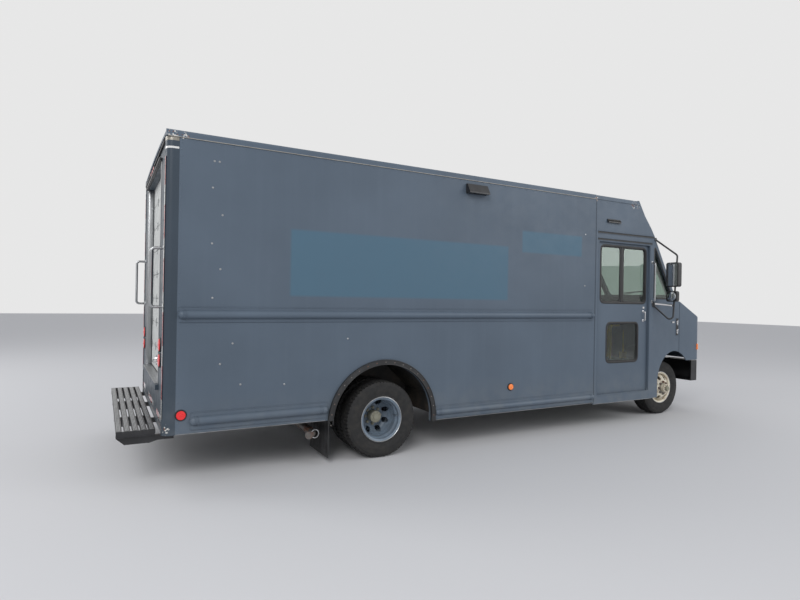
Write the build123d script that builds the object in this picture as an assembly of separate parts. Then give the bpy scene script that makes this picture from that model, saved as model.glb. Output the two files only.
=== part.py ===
from build123d import *
import math
import os

# Walk-in step van, in millimetres: +X forward, +Y left, +Z up.
# The origin is on the ground under the middle of the vehicle's box.

# Driving sizes of the whole vehicle
WHEELBASE = 4521
REAR_OVERHANG = 1982        # body's rear face to the rear axle
NOSE_REACH = 797            # front axle to the bumper's front face
STEP_REACH = 320            # rear step behind the body's rear face
CAB_LENGTH = 1646           # seam behind the cab door to the front axle
BODY_HALF = 1180            # half the width over the side skins
WALL = 28                   # side wall, as thick as skin, posts and liner
TYRE_RADIUS = 372
FRAME_RISE = 128            # wheel centres to the underside of the frame rails
RAIL_DEPTH = 200
SILL_HIGH = 40              # cross sills between the frame and the floor
FLOOR_THICK = 40
BODY_HIGH = 2038            # floor to the underside of the roof edge rail
ROOF_RAIL_HIGH = 56
REAR_SKIRT_DROP = 358       # floor to the side's lower edge behind the rear wheel
FRONT_SKIRT_DROP = 460      # floor to the side's lower edge ahead of the rear wheel
REAR_FRAME_SET = 6          # rear frame behind the corner posts' rear faces
REAR_FRAME_DEPTH = 56

# Heights, stacked up from the wheels
AXLE_Z = TYRE_RADIUS
RAIL_LOW = AXLE_Z + FRAME_RISE
RAIL_HIGH = RAIL_LOW + RAIL_DEPTH
FLOOR_TOP = RAIL_HIGH + SILL_HIGH + FLOOR_THICK
ROOF_EDGE = FLOOR_TOP + BODY_HIGH
ROOF_TOP = ROOF_EDGE + ROOF_RAIL_HIGH
SKIRT_REAR = FLOOR_TOP - REAR_SKIRT_DROP
SKIRT_FRONT = FLOOR_TOP - FRONT_SKIRT_DROP

# Places along the vehicle
BODY_REAR = -(REAR_OVERHANG + WHEELBASE + NOSE_REACH - STEP_REACH) / 2
REAR_AXLE = BODY_REAR + REAR_OVERHANG
FRONT_AXLE = REAR_AXLE + WHEELBASE
BUMPER_FACE = FRONT_AXLE + NOSE_REACH
CARGO_FRONT = FRONT_AXLE - CAB_LENGTH
INNER_HALF = BODY_HALF - WALL

# Running clearances
SLIDE_GAP = 6               # sliding door to the walls beside it
PIN_GAP = 0.3               # pins and spindles in their bores
SEAT_GAP = 0.3              # pieces of two bodies that rest on each other

# Wheels
TYRE_WIDTH = 218
RIM_RADIUS = 203            # bead seat of a 16 inch rim
FRONT_TRACK_INSET = 365     # front wheel's middle inside the body side
DUAL_INSET = 142            # outer rear wheel's middle inside the body side
DUAL_SPACING = 262
FRONT_TRACK_HALF = BODY_HALF - FRONT_TRACK_INSET
DUAL_OUTER_Y = BODY_HALF - DUAL_INSET
HUB_SPINDLE_RADIUS = 30
REAR_SPINDLE_RADIUS = 40
HAND_HOLE_COUNT = 8
HAND_HOLE_CIRCLE = 142
HAND_HOLE_RADIUS = 28

# Wheel arches
REAR_TYRE_ROOM = 160        # rear tyre to the arch round it
FRONT_TYRE_ROOM = 41
FLARE_WIDTH = 50
FLARE_PROUD = 25
REAR_ARCH_RADIUS = TYRE_RADIUS + REAR_TYRE_ROOM
REAR_ARCH_Z = AXLE_Z + 8
FRONT_ARCH_RADIUS = TYRE_RADIUS + FRONT_TYRE_ROOM
FRONT_ARCH_Z = AXLE_Z + 118

# Cab sides and sliding doors
DOOR_SILL_DROP = 370        # floor to the door opening's lower edge
DOOR_HEAD_DROP = 508        # roof edge to the door opening's head
DOOR_POST = 60              # seam to the door opening
CAB_SILL_Z = SKIRT_FRONT - 20
DOOR_LOW = FLOOR_TOP - DOOR_SILL_DROP
DOOR_HIGH = ROOF_EDGE - DOOR_HEAD_DROP
DOOR_REAR = CARGO_FRONT + DOOR_POST
DOOR_WIDTH = 963
DOOR_FRONT = DOOR_REAR + DOOR_WIDTH
DOOR_LAP = 12               # door laps behind its opening all round
DOOR_THICK = 34
DOOR_TRAVEL = 780
DOOR_OUT = INNER_HALF - SLIDE_GAP
DOOR_IN = DOOR_OUT - DOOR_THICK
ROLLER_RADIUS = 20
TRACK_WALL = 4

# Cab front: windshield, roof cap and hood
FOOT_AHEAD = 37             # windshield's foot ahead of the front axle
SCREEN_LEAN = 573           # windshield's head behind its foot
BROW_LEAN = 207             # brow behind the windshield's head
CAP_LEAN = 117              # roof cap's top corner behind the brow
BROW_DROP = 183             # roof top to the brow's fold
SCREEN_DROP = 429           # roof top to the windshield's head
SCREEN_FOOT_RISE = 820      # floor to the windshield's foot
SCREEN_THICK = 30
SCREEN_FOOT_X = FRONT_AXLE + FOOT_AHEAD
SCREEN_FOOT_Z = FLOOR_TOP + SCREEN_FOOT_RISE
SCREEN_HEAD_X = SCREEN_FOOT_X - SCREEN_LEAN
SCREEN_HEAD_Z = ROOF_TOP - SCREEN_DROP
CAP_BROW_X = SCREEN_HEAD_X - BROW_LEAN
CAP_BROW_Z = ROOF_TOP - BROW_DROP
CAP_CORNER_X = CAP_BROW_X - CAP_LEAN
SEAM_AHEAD = 90             # hood seam ahead of the windshield's foot
HOOD_SET = 80               # hood's face behind the bumper's face
HOOD_TOP_DROP = 215         # hood's fall over its flat top
HOOD_NOSE_LENGTH = 130
HOOD_LIP = 25               # hood's lower edge above the bumper
HOOD_GAP = 8
HOOD_SHELL = 14
BUMPER_Z = (RAIL_LOW - 60, RAIL_HIGH + 35)
HOOD_SEAM = SCREEN_FOOT_X + SEAM_AHEAD
HOOD_REAR_Z = SCREEN_FOOT_Z - 15
HOOD_FACE = BUMPER_FACE - HOOD_SET
HOOD_BREAK_X = HOOD_FACE - HOOD_NOSE_LENGTH
HOOD_BREAK_Z = HOOD_REAR_Z - HOOD_TOP_DROP
HOOD_LOW_Z = BUMPER_Z[1] + HOOD_LIP
TAPER_START = SCREEN_HEAD_X - 67
SEAM_HALF = BODY_HALF - 80
NOSE_HALF = BODY_HALF - 112
NOSE_BOW = 45
NOSE_CORNER = 150

# Chassis
RAIL_HALF = 430             # frame rails, outer web face
RAIL_FLANGE = 70
RAIL_WALL = 7
RAIL_REAR = BODY_REAR + REAR_FRAME_SET + REAR_FRAME_DEPTH
RAIL_FRONT = HOOD_FACE - 117
KINGPIN_INSET = 155         # kingpin inside the front wheel's middle
KINGPIN_Y = FRONT_TRACK_HALF - KINGPIN_INSET
KINGPIN_RADIUS = 14
ARM_LENGTH = 170            # steering arm, kingpin to ball joint
TIE_ROD_Z = AXLE_Z - 92

os.makedirs("parts", exist_ok=True)
nodes = {}


def keep(name, *solids):
    """Store one node made of one or more solids."""
    nodes[name] = solids[0] if len(solids) == 1 else Compound(children=list(solids))


def keep_pair(name, solid):
    """Store a right-hand node and its mirrored left-hand twin."""
    keep(name + "_right", solid)
    keep(name + "_left", mirror(solid, about=Plane.XZ))


def both(solid):
    """A solid and its mirror image across the centre plane."""
    return [solid, mirror(solid, about=Plane.XZ)]


def block(x, y, z):
    """A box from three (low, high) pairs."""
    size = [high - low for low, high in (x, y, z)]
    middle = [(high + low) / 2 for low, high in (x, y, z)]
    return Pos(*middle) * Box(*size)


def side_plate(points, y):
    """An (x, z) outline made into a plate between two y values."""
    plane = Plane(origin=(0, y[1], 0), x_dir=(1, 0, 0), z_dir=(0, -1, 0))
    return extrude(make_face(plane * Polyline(*points, close=True)), y[1] - y[0], dir=(0, -1, 0))


def plan_plate(points, z):
    """An (x, y) outline made into a plate between two heights."""
    plane = Plane(origin=(0, 0, z[0]))
    return extrude(make_face(plane * Polyline(*points, close=True)), z[1] - z[0], dir=(0, 0, 1))


def cross_plate(points, x):
    """A (y, z) outline made into a plate between two x values."""
    plane = Plane(origin=(x[0], 0, 0), x_dir=(0, 1, 0), z_dir=(1, 0, 0))
    return extrude(make_face(plane * Polyline(*points, close=True)), x[1] - x[0], dir=(1, 0, 0))


def disc_y(x, z, radius, y):
    """A cylinder along Y between two y values."""
    return Pos(x, (y[0] + y[1]) / 2, z) * Rot(90, 0, 0) * Cylinder(radius, y[1] - y[0])


def disc_x(y, z, radius, x):
    """A cylinder along X between two x values."""
    return Pos((x[0] + x[1]) / 2, y, z) * Rot(0, 90, 0) * Cylinder(radius, x[1] - x[0])


def disc_z(x, y, radius, z):
    """A cylinder along Z between two z values."""
    return Pos(x, y, (z[0] + z[1]) / 2) * Cylinder(radius, z[1] - z[0])


def window_x(x, z, y, corner):
    """A rounded rectangle in the XZ plane, cut through between two y values."""
    plane = Plane(origin=((x[0] + x[1]) / 2, y[1], (z[0] + z[1]) / 2), x_dir=(1, 0, 0), z_dir=(0, -1, 0))
    return extrude(plane * RectangleRounded(x[1] - x[0], z[1] - z[0], corner), y[1] - y[0], dir=(0, -1, 0))


def tube(points, radius, bend):
    """A round bar along straight runs joined by arcs."""
    path = FilletPolyline(*points, radius=bend)
    start = Plane(origin=path @ 0, z_dir=path % 0)
    return sweep(start * Circle(radius), path=path)


def arch_cut(x, z, radius, y, low):
    """A half-round arch with straight sides down to a low height, between two y values."""
    plane = Plane(origin=(0, y[1], 0), x_dir=(1, 0, 0), z_dir=(0, -1, 0))
    legs = Polyline((x - radius, z), (x - radius, low), (x + radius, low), (x + radius, z))
    crown = ThreePointArc((x + radius, z), (x, z + radius), (x - radius, z))
    return extrude(make_face(plane * (legs + crown)), y[1] - y[0], dir=(0, -1, 0))


# Cargo body: side walls with the rear wheel arches
POST_DEPTH = 100            # corner posts, along the vehicle
POST_WIDTH = 90             # corner posts, across the vehicle
WALL_REAR = BODY_REAR + POST_DEPTH


WALL_Y = (-BODY_HALF, -INNER_HALF)


ARCH_SHEET_LAP = 60         # sheets round the arch reach this far past it
ARCH_SEAMS = (REAR_AXLE - REAR_ARCH_RADIUS - ARCH_SHEET_LAP, REAR_AXLE + REAR_ARCH_RADIUS + ARCH_SHEET_LAP)
ARCH_SHEET_TOP = REAR_ARCH_Z + REAR_ARCH_RADIUS + ARCH_SHEET_LAP


def arch_sheet(x, low):
    """Lower wall sheet on one side of the rear axle, cut out for its half of the arch."""
    span = (WALL_Y[0] - 10, WALL_Y[1] + 10)
    sheet = block(x, WALL_Y, (low, ARCH_SHEET_TOP))
    return sheet - arch_cut(REAR_AXLE, REAR_ARCH_Z, REAR_ARCH_RADIUS, span, SKIRT_FRONT - 50)


rear_panel = block((WALL_REAR, ARCH_SEAMS[0]), WALL_Y, (SKIRT_REAR, ROOF_EDGE))
middle_panel = block(ARCH_SEAMS, WALL_Y, (ARCH_SHEET_TOP, ROOF_EDGE))
front_panel = block((ARCH_SEAMS[1], CARGO_FRONT), WALL_Y, (SKIRT_FRONT, ROOF_EDGE))
keep("side_walls", *both(rear_panel), *both(middle_panel), *both(front_panel))
rear_sheet = arch_sheet((ARCH_SEAMS[0], REAR_AXLE), SKIRT_REAR)
front_sheet = arch_sheet((REAR_AXLE, ARCH_SEAMS[1]), SKIRT_FRONT)
keep("arch_panels", *both(rear_sheet), *both(front_sheet))

# Rub rails: half-round bars on a flat backing strip, as (start, end, axis height, radius, strip half height)
RAIL_STRIP = 4
STRIP_LAP = 24
FLARE_REACH = REAR_ARCH_RADIUS + FLARE_WIDTH
RUB_RAILS = [
    (WALL_REAR + STRIP_LAP + 16, CARGO_FRONT - 52, FLOOR_TOP + 612, 35, 62),
    (WALL_REAR + 140, REAR_AXLE - FLARE_REACH - STRIP_LAP - 10, SKIRT_REAR + 103, 35, 70),
    (REAR_AXLE + FLARE_REACH + STRIP_LAP + 10, CARGO_FRONT - 32, SKIRT_FRONT + 80, 30, 62),
]


def rub_rail(start, end, height, radius, strip_half):
    face = -BODY_HALF - SEAT_GAP
    back = face - RAIL_STRIP
    strip = block((start - STRIP_LAP, end + STRIP_LAP), (back, face), (height - strip_half, height + strip_half))
    plane = Plane(origin=(start, back, height), x_dir=(0, 1, 0), z_dir=(1, 0, 0))
    half_round = ThreePointArc((0, -radius), (-radius, 0), (0, radius)) + Line((0, radius), (0, -radius))
    bar = extrude(make_face(plane * half_round), end - start, dir=(1, 0, 0))
    quarter = Sphere(radius, arc_size3=90, align=(Align.NONE, Align.NONE, Align.NONE))
    front_end = Pos(end, back, height) * Rot(0, 0, -90) * quarter
    rear_end = Pos(start, back, height) * Rot(0, 0, 180) * quarter
    return strip + bar + front_end + rear_end


rails = [rub_rail(*row) for row in RUB_RAILS]
keep("rub_rails", *rails, *[mirror(rail, about=Plane.XZ) for rail in rails])


# Black rubber flares round the rear arches
def arch_flare():
    y = (-BODY_HALF - FLARE_PROUD, -BODY_HALF)
    outer = arch_cut(REAR_AXLE, REAR_ARCH_Z, REAR_ARCH_RADIUS + FLARE_WIDTH, y, SKIRT_FRONT)
    inner_span = (y[0] - 1, y[1] + 1)
    ring = outer - arch_cut(REAR_AXLE, REAR_ARCH_Z, REAR_ARCH_RADIUS, inner_span, SKIRT_FRONT - 5)
    rear_foot = block((BODY_REAR, REAR_AXLE), inner_span, (SKIRT_FRONT - 5, SKIRT_REAR))
    return ring - rear_foot


keep("arch_flares", *both(arch_flare()))

# Wheel houses of the dual rear wheels, and the cargo floor between them
HOUSE_SKIN = 4
HOUSE_IN = DUAL_OUTER_Y - DUAL_SPACING - TYRE_WIDTH / 2 - 26
HOUSE_SKIRT_LOW = AXLE_Z + 28
AXLE_NOTCH = (130, AXLE_Z + 188)    # half width and top of the notch over the axle
HOUSE_BEND = math.tan(math.radians(22.5))


def house_outline(reach):
    """Half an octagon round the arch, from its rear foot over the top to its front foot."""
    near = reach * HOUSE_BEND
    corners = [(-reach, HOUSE_SKIRT_LOW - REAR_ARCH_Z), (-reach, near), (-near, reach),
               (near, reach), (reach, near), (reach, HOUSE_SKIRT_LOW - REAR_ARCH_Z)]
    return [(REAR_AXLE + x, REAR_ARCH_Z + z) for x, z in corners]


def wheel_house():
    """Five flat sheets bent round the dual wheels, and the upright sheet inside them."""
    inner = house_outline(REAR_ARCH_RADIUS)
    outer = house_outline(REAR_ARCH_RADIUS + HOUSE_SKIN)
    across = (-INNER_HALF, -HOUSE_IN - HOUSE_SKIN)
    sheets = []
    for first in range(len(outer) - 1):
        last = first + 1
        sheets.append(side_plate([inner[first], outer[first], outer[last], inner[last]], across))
    upright = side_plate(outer, (across[1], -HOUSE_IN))
    notch_x = (REAR_AXLE - AXLE_NOTCH[0], REAR_AXLE + AXLE_NOTCH[0])
    upright -= block(notch_x, (across[1] - 1, 1 - HOUSE_IN), (HOUSE_SKIRT_LOW - 1, AXLE_NOTCH[1]))
    return sheets + [upright]


BULKHEAD_THICK = 30
BULKHEAD_X = CARGO_FRONT + 6
POCKET_REAR = DOOR_REAR - DOOR_LAP - DOOR_TRAVEL - 12
POCKET_IN = DOOR_IN - SLIDE_GAP - 2
SILL_DEPTH = 60
CROSS_SILL_WIDTH = 60
CROSS_SILL_COUNT = 9
FLOOR_REAR = BODY_REAR + REAR_FRAME_SET + REAR_FRAME_DEPTH


FLOOR_FRONT = BULKHEAD_X + BULKHEAD_THICK
HOUSE_OUTER = REAR_ARCH_RADIUS + HOUSE_SKIN
HOUSE_CHORD = HOUSE_OUTER * (1 + HOUSE_BEND) - (FLOOR_TOP - REAR_ARCH_Z)


def floor_panel(outline, x):
    """One panel of the cargo floor between two stations, less the wheel houses."""
    z = (FLOOR_TOP - FLOOR_THICK, FLOOR_TOP)
    panel = plan_plate(outline, z) & block(x, (-BODY_HALF, BODY_HALF), z)
    for side in ((-BODY_HALF, -HOUSE_IN), (HOUSE_IN, BODY_HALF)):
        panel -= side_plate(house_outline(HOUSE_OUTER), side)
    return panel


def cargo_floor():
    """Three floor panels, split at the wheel houses, and the cross sills under them."""
    post_in = BODY_HALF - POST_WIDTH
    outline = [
        (FLOOR_REAR, -post_in), (WALL_REAR, -post_in), (WALL_REAR, -INNER_HALF), (POCKET_REAR, -INNER_HALF),
        (POCKET_REAR, -POCKET_IN), (FLOOR_FRONT, -POCKET_IN), (FLOOR_FRONT, POCKET_IN), (POCKET_REAR, POCKET_IN),
        (POCKET_REAR, INNER_HALF), (WALL_REAR, INNER_HALF), (WALL_REAR, post_in), (FLOOR_REAR, post_in),
    ]
    seams = (FLOOR_REAR, REAR_AXLE - HOUSE_CHORD, REAR_AXLE + HOUSE_CHORD, FLOOR_FRONT)
    panels = [floor_panel(outline, seams[index:index + 2]) for index in range(3)]
    step = (FLOOR_FRONT - FLOOR_REAR - CROSS_SILL_WIDTH) / (CROSS_SILL_COUNT - 1)
    half = HOUSE_IN - 40
    for index in range(CROSS_SILL_COUNT):
        x = FLOOR_REAR + index * step
        panels.append(block((x, x + CROSS_SILL_WIDTH), (-half, half), (RAIL_HIGH, FLOOR_TOP - FLOOR_THICK)))
    return panels


keep("cargo_floor", *cargo_floor())

# Roof: crowned panel between two rounded edge rails
ROOF_CROWN = 26
ROOF_SKIN = 24
ROOF_RAIL_WIDTH = 46
ROOF_RAIL_PROUD = 8
ROOF_RAIL_CORNER = 26
ROOF_FRONT = CARGO_FRONT


def roof_panel():
    edge = BODY_HALF + ROOF_RAIL_PROUD - ROOF_RAIL_WIDTH
    high = ROOF_TOP - 12
    plane = Plane(origin=(BODY_REAR, 0, 0), x_dir=(0, 1, 0), z_dir=(1, 0, 0))
    crown = high + ROOF_CROWN
    top = ThreePointArc((-edge, high), (0, crown), (edge, high))
    low = ThreePointArc((edge, high - ROOF_SKIN), (0, crown - ROOF_SKIN), (-edge, high - ROOF_SKIN))
    sides = Line((edge, high), (edge, high - ROOF_SKIN)) + Line((-edge, high - ROOF_SKIN), (-edge, high))
    return extrude(make_face(plane * (top + low + sides)), ROOF_FRONT - BODY_REAR, dir=(1, 0, 0))


def roof_rail(x):
    outer = BODY_HALF + ROOF_RAIL_PROUD
    bar = block(x, (-outer, -outer + ROOF_RAIL_WIDTH), (ROOF_EDGE, ROOF_TOP))
    edge = bar.edges().filter_by(Axis.X).sort_by(Axis.Z)[-2:].sort_by(Axis.Y)[0]
    return fillet(edge, ROOF_RAIL_CORNER)


left_rail, right_rail = both(roof_rail((BODY_REAR, ROOF_FRONT)))
keep("roof", roof_panel() + left_rail + right_rail)

# Rear corner posts with a large outer radius
POST_CORNER = 55


def corner_post():
    post = block((BODY_REAR, WALL_REAR), (-BODY_HALF, -BODY_HALF + POST_WIDTH), (SKIRT_REAR, ROOF_EDGE))
    edge = post.edges().filter_by(Axis.Z).sort_by(Axis.X)[:2].sort_by(Axis.Y)[0]
    return fillet(edge, POST_CORNER)


# Rear frame between the posts, with the doorway, its threshold and the roll-up door behind it
DOORWAY_HALF = BODY_HALF - 450
DOORWAY_HIGH = ROOF_EDGE - 118
DOOR_SLAT_COUNT = 8
DOOR_SLAT_THICK = 26
DOOR_SLAT_GROOVE = 8
THRESHOLD_PROUD = 22
PLATE_Y = 560               # blank number plate place on the lower sill, on the left
PLATE_Z = FLOOR_TOP - 170
PLATE_BOLT_Y = 177.8
PLATE_BOLT_Z = 120.65
PLATE_BOLT_RADIUS = 3.5


def rear_frame():
    x = (BODY_REAR + REAR_FRAME_SET, BODY_REAR + REAR_FRAME_DEPTH + REAR_FRAME_SET)
    half = BODY_HALF - POST_WIDTH
    frame = block(x, (-half, half), (SKIRT_REAR, ROOF_EDGE))
    frame -= block((x[0] - 1, x[1] + 1), (-DOORWAY_HALF, DOORWAY_HALF), (FLOOR_TOP, DOORWAY_HIGH))
    lip = block((BODY_REAR - THRESHOLD_PROUD, x[0]), (-DOORWAY_HALF - 60, DOORWAY_HALF + 60), (FLOOR_TOP - 46, FLOOR_TOP))
    for y in (-PLATE_BOLT_Y / 2, PLATE_BOLT_Y / 2):
        for z in (-PLATE_BOLT_Z / 2, PLATE_BOLT_Z / 2):
            frame -= disc_x(PLATE_Y + y, PLATE_Z + z, PLATE_BOLT_RADIUS, (x[0] - 1, x[1] + 1))
    for post in both(corner_post()):
        frame += post
    return frame + lip


keep("rear_frame", rear_frame())
REAR_DOOR_X = BODY_REAR + REAR_FRAME_DEPTH + REAR_FRAME_SET


def roll_up_door():
    half = DOORWAY_HALF + 40
    low = FLOOR_TOP
    high = DOORWAY_HIGH + 40
    x = (REAR_DOOR_X, REAR_DOOR_X + DOOR_SLAT_THICK)
    door = block(x, (-half, half), (low, high))
    pitch = (high - low) / DOOR_SLAT_COUNT
    for index in range(1, DOOR_SLAT_COUNT):
        z = low + index * pitch
        groove = (z - DOOR_SLAT_GROOVE / 2, z + DOOR_SLAT_GROOVE / 2)
        door -= block((x[0] - 1, x[0] + DOOR_SLAT_GROOVE), (-half - 1, half + 1), groove)
    return door


keep("roll_up_door", roll_up_door())

# Bolt-on rear step: five slats across two end plates with swept brackets
STEP_HALF = BODY_HALF - 40
STEP_FRONT_GAP = 40
STEP_TOP = SKIRT_REAR + 58
STEP_SLATS = 5
STEP_SLAT_GAP = 16
STEP_SLAT_THICK = 34
STEP_END = 40
STEP_DROP = 115
STEP_BRACKET_Y = BODY_HALF - 120
STEP_HANGER = 160            # the hangers lap under the frame rails by this much


def rear_step():
    rear = BODY_REAR - STEP_REACH
    front = BODY_REAR - STEP_FRONT_GAP
    pitch = (front - rear + STEP_SLAT_GAP) / STEP_SLATS
    deck = []
    for index in range(STEP_SLATS):
        x = rear + index * pitch
        slat = block((x, x + pitch - STEP_SLAT_GAP), (-STEP_HALF, STEP_HALF), (STEP_TOP - STEP_SLAT_THICK, STEP_TOP))
        deck.append(slat)
    mount = BODY_REAR + POST_DEPTH
    outline = [
        (rear, STEP_TOP - STEP_SLAT_THICK), (rear, STEP_TOP - 60), (rear + 60, STEP_TOP - STEP_DROP),
        (front - 40, STEP_TOP - STEP_DROP), (front + 20, SKIRT_REAR - 40), (mount, SKIRT_REAR - 40),
        (mount, SKIRT_REAR), (front, SKIRT_REAR), (front, STEP_TOP - STEP_SLAT_THICK),
    ]
    step = side_plate(outline, (-STEP_BRACKET_Y - STEP_END, -STEP_BRACKET_Y))
    step += side_plate(outline, (STEP_BRACKET_Y, STEP_BRACKET_Y + STEP_END))
    hanger = outline[:5] + [
        (RAIL_REAR + STEP_HANGER, SKIRT_REAR - 40), (RAIL_REAR + STEP_HANGER, RAIL_LOW),
        (mount, RAIL_LOW), (mount, SKIRT_REAR), (front, SKIRT_REAR), (front, STEP_TOP - STEP_SLAT_THICK),
    ]
    for y in (-RAIL_HALF, RAIL_HALF - STEP_END):
        step += side_plate(hanger, (y, y + STEP_END))
    for slat in deck:
        step += slat
    return step


keep("rear_step", rear_step())

# Grab handles on the rear posts: bent bars standing off the frame
GRAB_Y = BODY_HALF - 150
GRAB_LOW = FLOOR_TOP + 670
GRAB_HIGH = FLOOR_TOP + 1150
GRAB_REACH = 92
GRAB_RADIUS = 12


def grab_handle():
    face = BODY_REAR + REAR_FRAME_SET
    out = face - GRAB_REACH
    points = [(face, -GRAB_Y, GRAB_LOW), (out, -GRAB_Y, GRAB_LOW), (out, -GRAB_Y, GRAB_HIGH), (face, -GRAB_Y, GRAB_HIGH)]
    return tube(points, GRAB_RADIUS, 30)


# Cab sides: one flat panel that tapers in towards the hood seam
SCREEN_RUN = SCREEN_FOOT_X - SCREEN_HEAD_X
SCREEN_RISE = SCREEN_HEAD_Z - SCREEN_FOOT_Z
SCREEN_LENGTH = math.hypot(SCREEN_RUN, SCREEN_RISE)
SCREEN_NORMAL = (SCREEN_RISE / SCREEN_LENGTH, SCREEN_RUN / SCREEN_LENGTH)
CAB_FRONT = HOOD_SEAM - HOOD_GAP
CAP_EDGE_X = CAP_CORNER_X + (CAP_BROW_X - CAP_CORNER_X) * (ROOF_TOP - ROOF_EDGE) / (ROOF_TOP - CAP_BROW_Z)
PILLAR_WIDTH = 62
QUARTER_REAR = DOOR_FRONT + 95
QUARTER_LOW = SCREEN_FOOT_Z + 20
GLASS_THICK = 5
GLASS_LAP = 12


def taper_half(x, inset):
    """Half width of the tapered cab at x, less an inset."""
    share = (x - TAPER_START) / (HOOD_SEAM - TAPER_START)
    return BODY_HALF - inset - (BODY_HALF - SEAM_HALF) * max(0, share)


def cab_strip(outer, inner, z):
    """The cab side's plan strip between two insets, on the right-hand side."""
    points = [(x, -taper_half(x, outer)) for x in (CARGO_FRONT, TAPER_START, CAB_FRONT)]
    points += [(x, -taper_half(x, inner)) for x in (CAB_FRONT, TAPER_START, CARGO_FRONT)]
    return plan_plate(points, z)


def cab_inside(inset, z):
    """Everything between the cab sides at an inset."""
    right = [(x, -taper_half(x, inset)) for x in (CARGO_FRONT, TAPER_START, CAB_FRONT)]
    left = [(x, -y) for x, y in reversed(right)]
    return plan_plate(right + left, z)


def quarter_outline(grow):
    """Triangle of the fixed window behind the windshield pillar."""
    slope = SCREEN_RUN / SCREEN_RISE
    foot = SCREEN_FOOT_X - (QUARTER_LOW - grow - SCREEN_FOOT_Z) * slope
    edge = PILLAR_WIDTH / SCREEN_NORMAL[0] - grow
    rear = QUARTER_REAR - grow
    peak = QUARTER_LOW - grow + (foot - edge - rear) / slope
    blunt = 40
    return [
        (rear, QUARTER_LOW - grow), (foot - edge, QUARTER_LOW - grow),
        (rear + blunt * slope, peak - blunt), (rear, peak - blunt),
    ]


def cab_side():
    outline = [
        (CARGO_FRONT, CAB_SILL_Z), (CAB_FRONT, CAB_SILL_Z), (CAB_FRONT, HOOD_REAR_Z), (SCREEN_FOOT_X, SCREEN_FOOT_Z),
        (SCREEN_HEAD_X, SCREEN_HEAD_Z), (CAP_BROW_X, CAP_BROW_Z), (CAP_EDGE_X, ROOF_EDGE), (CARGO_FRONT, ROOF_EDGE),
    ]
    reach = (-BODY_HALF - 10, 0)
    side = cab_strip(0, WALL, (CAB_SILL_Z, ROOF_EDGE)) & side_plate(outline, reach)
    side -= window_x((DOOR_REAR, DOOR_FRONT), (DOOR_LOW, DOOR_HIGH), reach, 25)
    side -= side_plate(quarter_outline(0), reach)
    side -= arch_cut(FRONT_AXLE, FRONT_ARCH_Z, FRONT_ARCH_RADIUS, reach, CAB_SILL_Z - 10)
    return side


keep("cab_sides", *both(cab_side()))
quarter_panes = cab_strip(WALL, WALL + GLASS_THICK, (QUARTER_LOW - 50, SCREEN_HEAD_Z))
quarter_panes = both(quarter_panes & side_plate(quarter_outline(GLASS_LAP), (-BODY_HALF, 0)))


# Roof cap over the cab: top shell with rounded sides and the sloping brow
CAP_SKIN = 26
CAP_CORNER = 40


def roof_cap():
    half = BODY_HALF + ROOF_RAIL_PROUD
    top = block((CARGO_FRONT, CAP_CORNER_X), (-half, half), (ROOF_EDGE, ROOF_TOP))
    sides = top.edges().filter_by(Axis.X).sort_by(Axis.Z)[-2:]
    top = fillet(sides, CAP_CORNER)
    top -= block((CARGO_FRONT - 1, CAP_CORNER_X + 1), (-INNER_HALF, INNER_HALF), (ROOF_EDGE - 1, ROOF_TOP - CAP_SKIN))
    nx, nz = SCREEN_NORMAL
    brow = [
        (CAP_CORNER_X - 20, ROOF_TOP), (CAP_CORNER_X, ROOF_TOP), (CAP_BROW_X, CAP_BROW_Z),
        (SCREEN_HEAD_X, SCREEN_HEAD_Z), (SCREEN_HEAD_X - nx * SCREEN_THICK, SCREEN_HEAD_Z - nz * SCREEN_THICK),
        (CAP_BROW_X - CAP_SKIN * 1.1, CAP_BROW_Z - CAP_SKIN / 2), (CAP_CORNER_X - 20, ROOF_TOP - CAP_SKIN),
    ]
    front = side_plate(brow, (-INNER_HALF, INNER_HALF)) & cab_inside(WALL, (SCREEN_HEAD_Z - 40, ROOF_TOP))
    shoulders = side_plate([brow[0], brow[1], (CAP_EDGE_X, ROOF_EDGE), (CAP_CORNER_X - 20, ROOF_EDGE)],
                           (-BODY_HALF, BODY_HALF))
    shoulders -= block((CAP_CORNER_X - 30, CAP_BROW_X), (-INNER_HALF, INNER_HALF), (ROOF_EDGE - 1, ROOF_TOP + 1))
    return top + front + shoulders


keep("roof_cap", roof_cap())

# Windshield frame with two panes, leaning back on the pillars
PANE_HEIGHT = SCREEN_LENGTH - 161
PANE_CORNER = 60
CENTRE_POST = 70
PANE_SIDE = 76
SCREEN_MID = ((SCREEN_FOOT_X + SCREEN_HEAD_X) / 2, (SCREEN_FOOT_Z + SCREEN_HEAD_Z) / 2)


def screen_plane(depth):
    """Plane on the windshield, a depth inside its outer face; local x runs to the left, local y down the glass."""
    nx, nz = SCREEN_NORMAL
    return Plane(origin=(SCREEN_MID[0] - nx * depth, 0, SCREEN_MID[1] - nz * depth), x_dir=(0, 1, 0), z_dir=(nx, 0, nz))


def screen_pane(grow, low, high):
    """Right-hand pane between two depths inside the screen's outer face."""
    outer = taper_half(SCREEN_FOOT_X, WALL) - PANE_SIDE
    width = outer - CENTRE_POST / 2
    shape = Pos(-(outer + CENTRE_POST / 2) / 2, 0) * RectangleRounded(width + 2 * grow, PANE_HEIGHT + 2 * grow, PANE_CORNER)
    return extrude(screen_plane(high) * shape, high - low)


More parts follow.
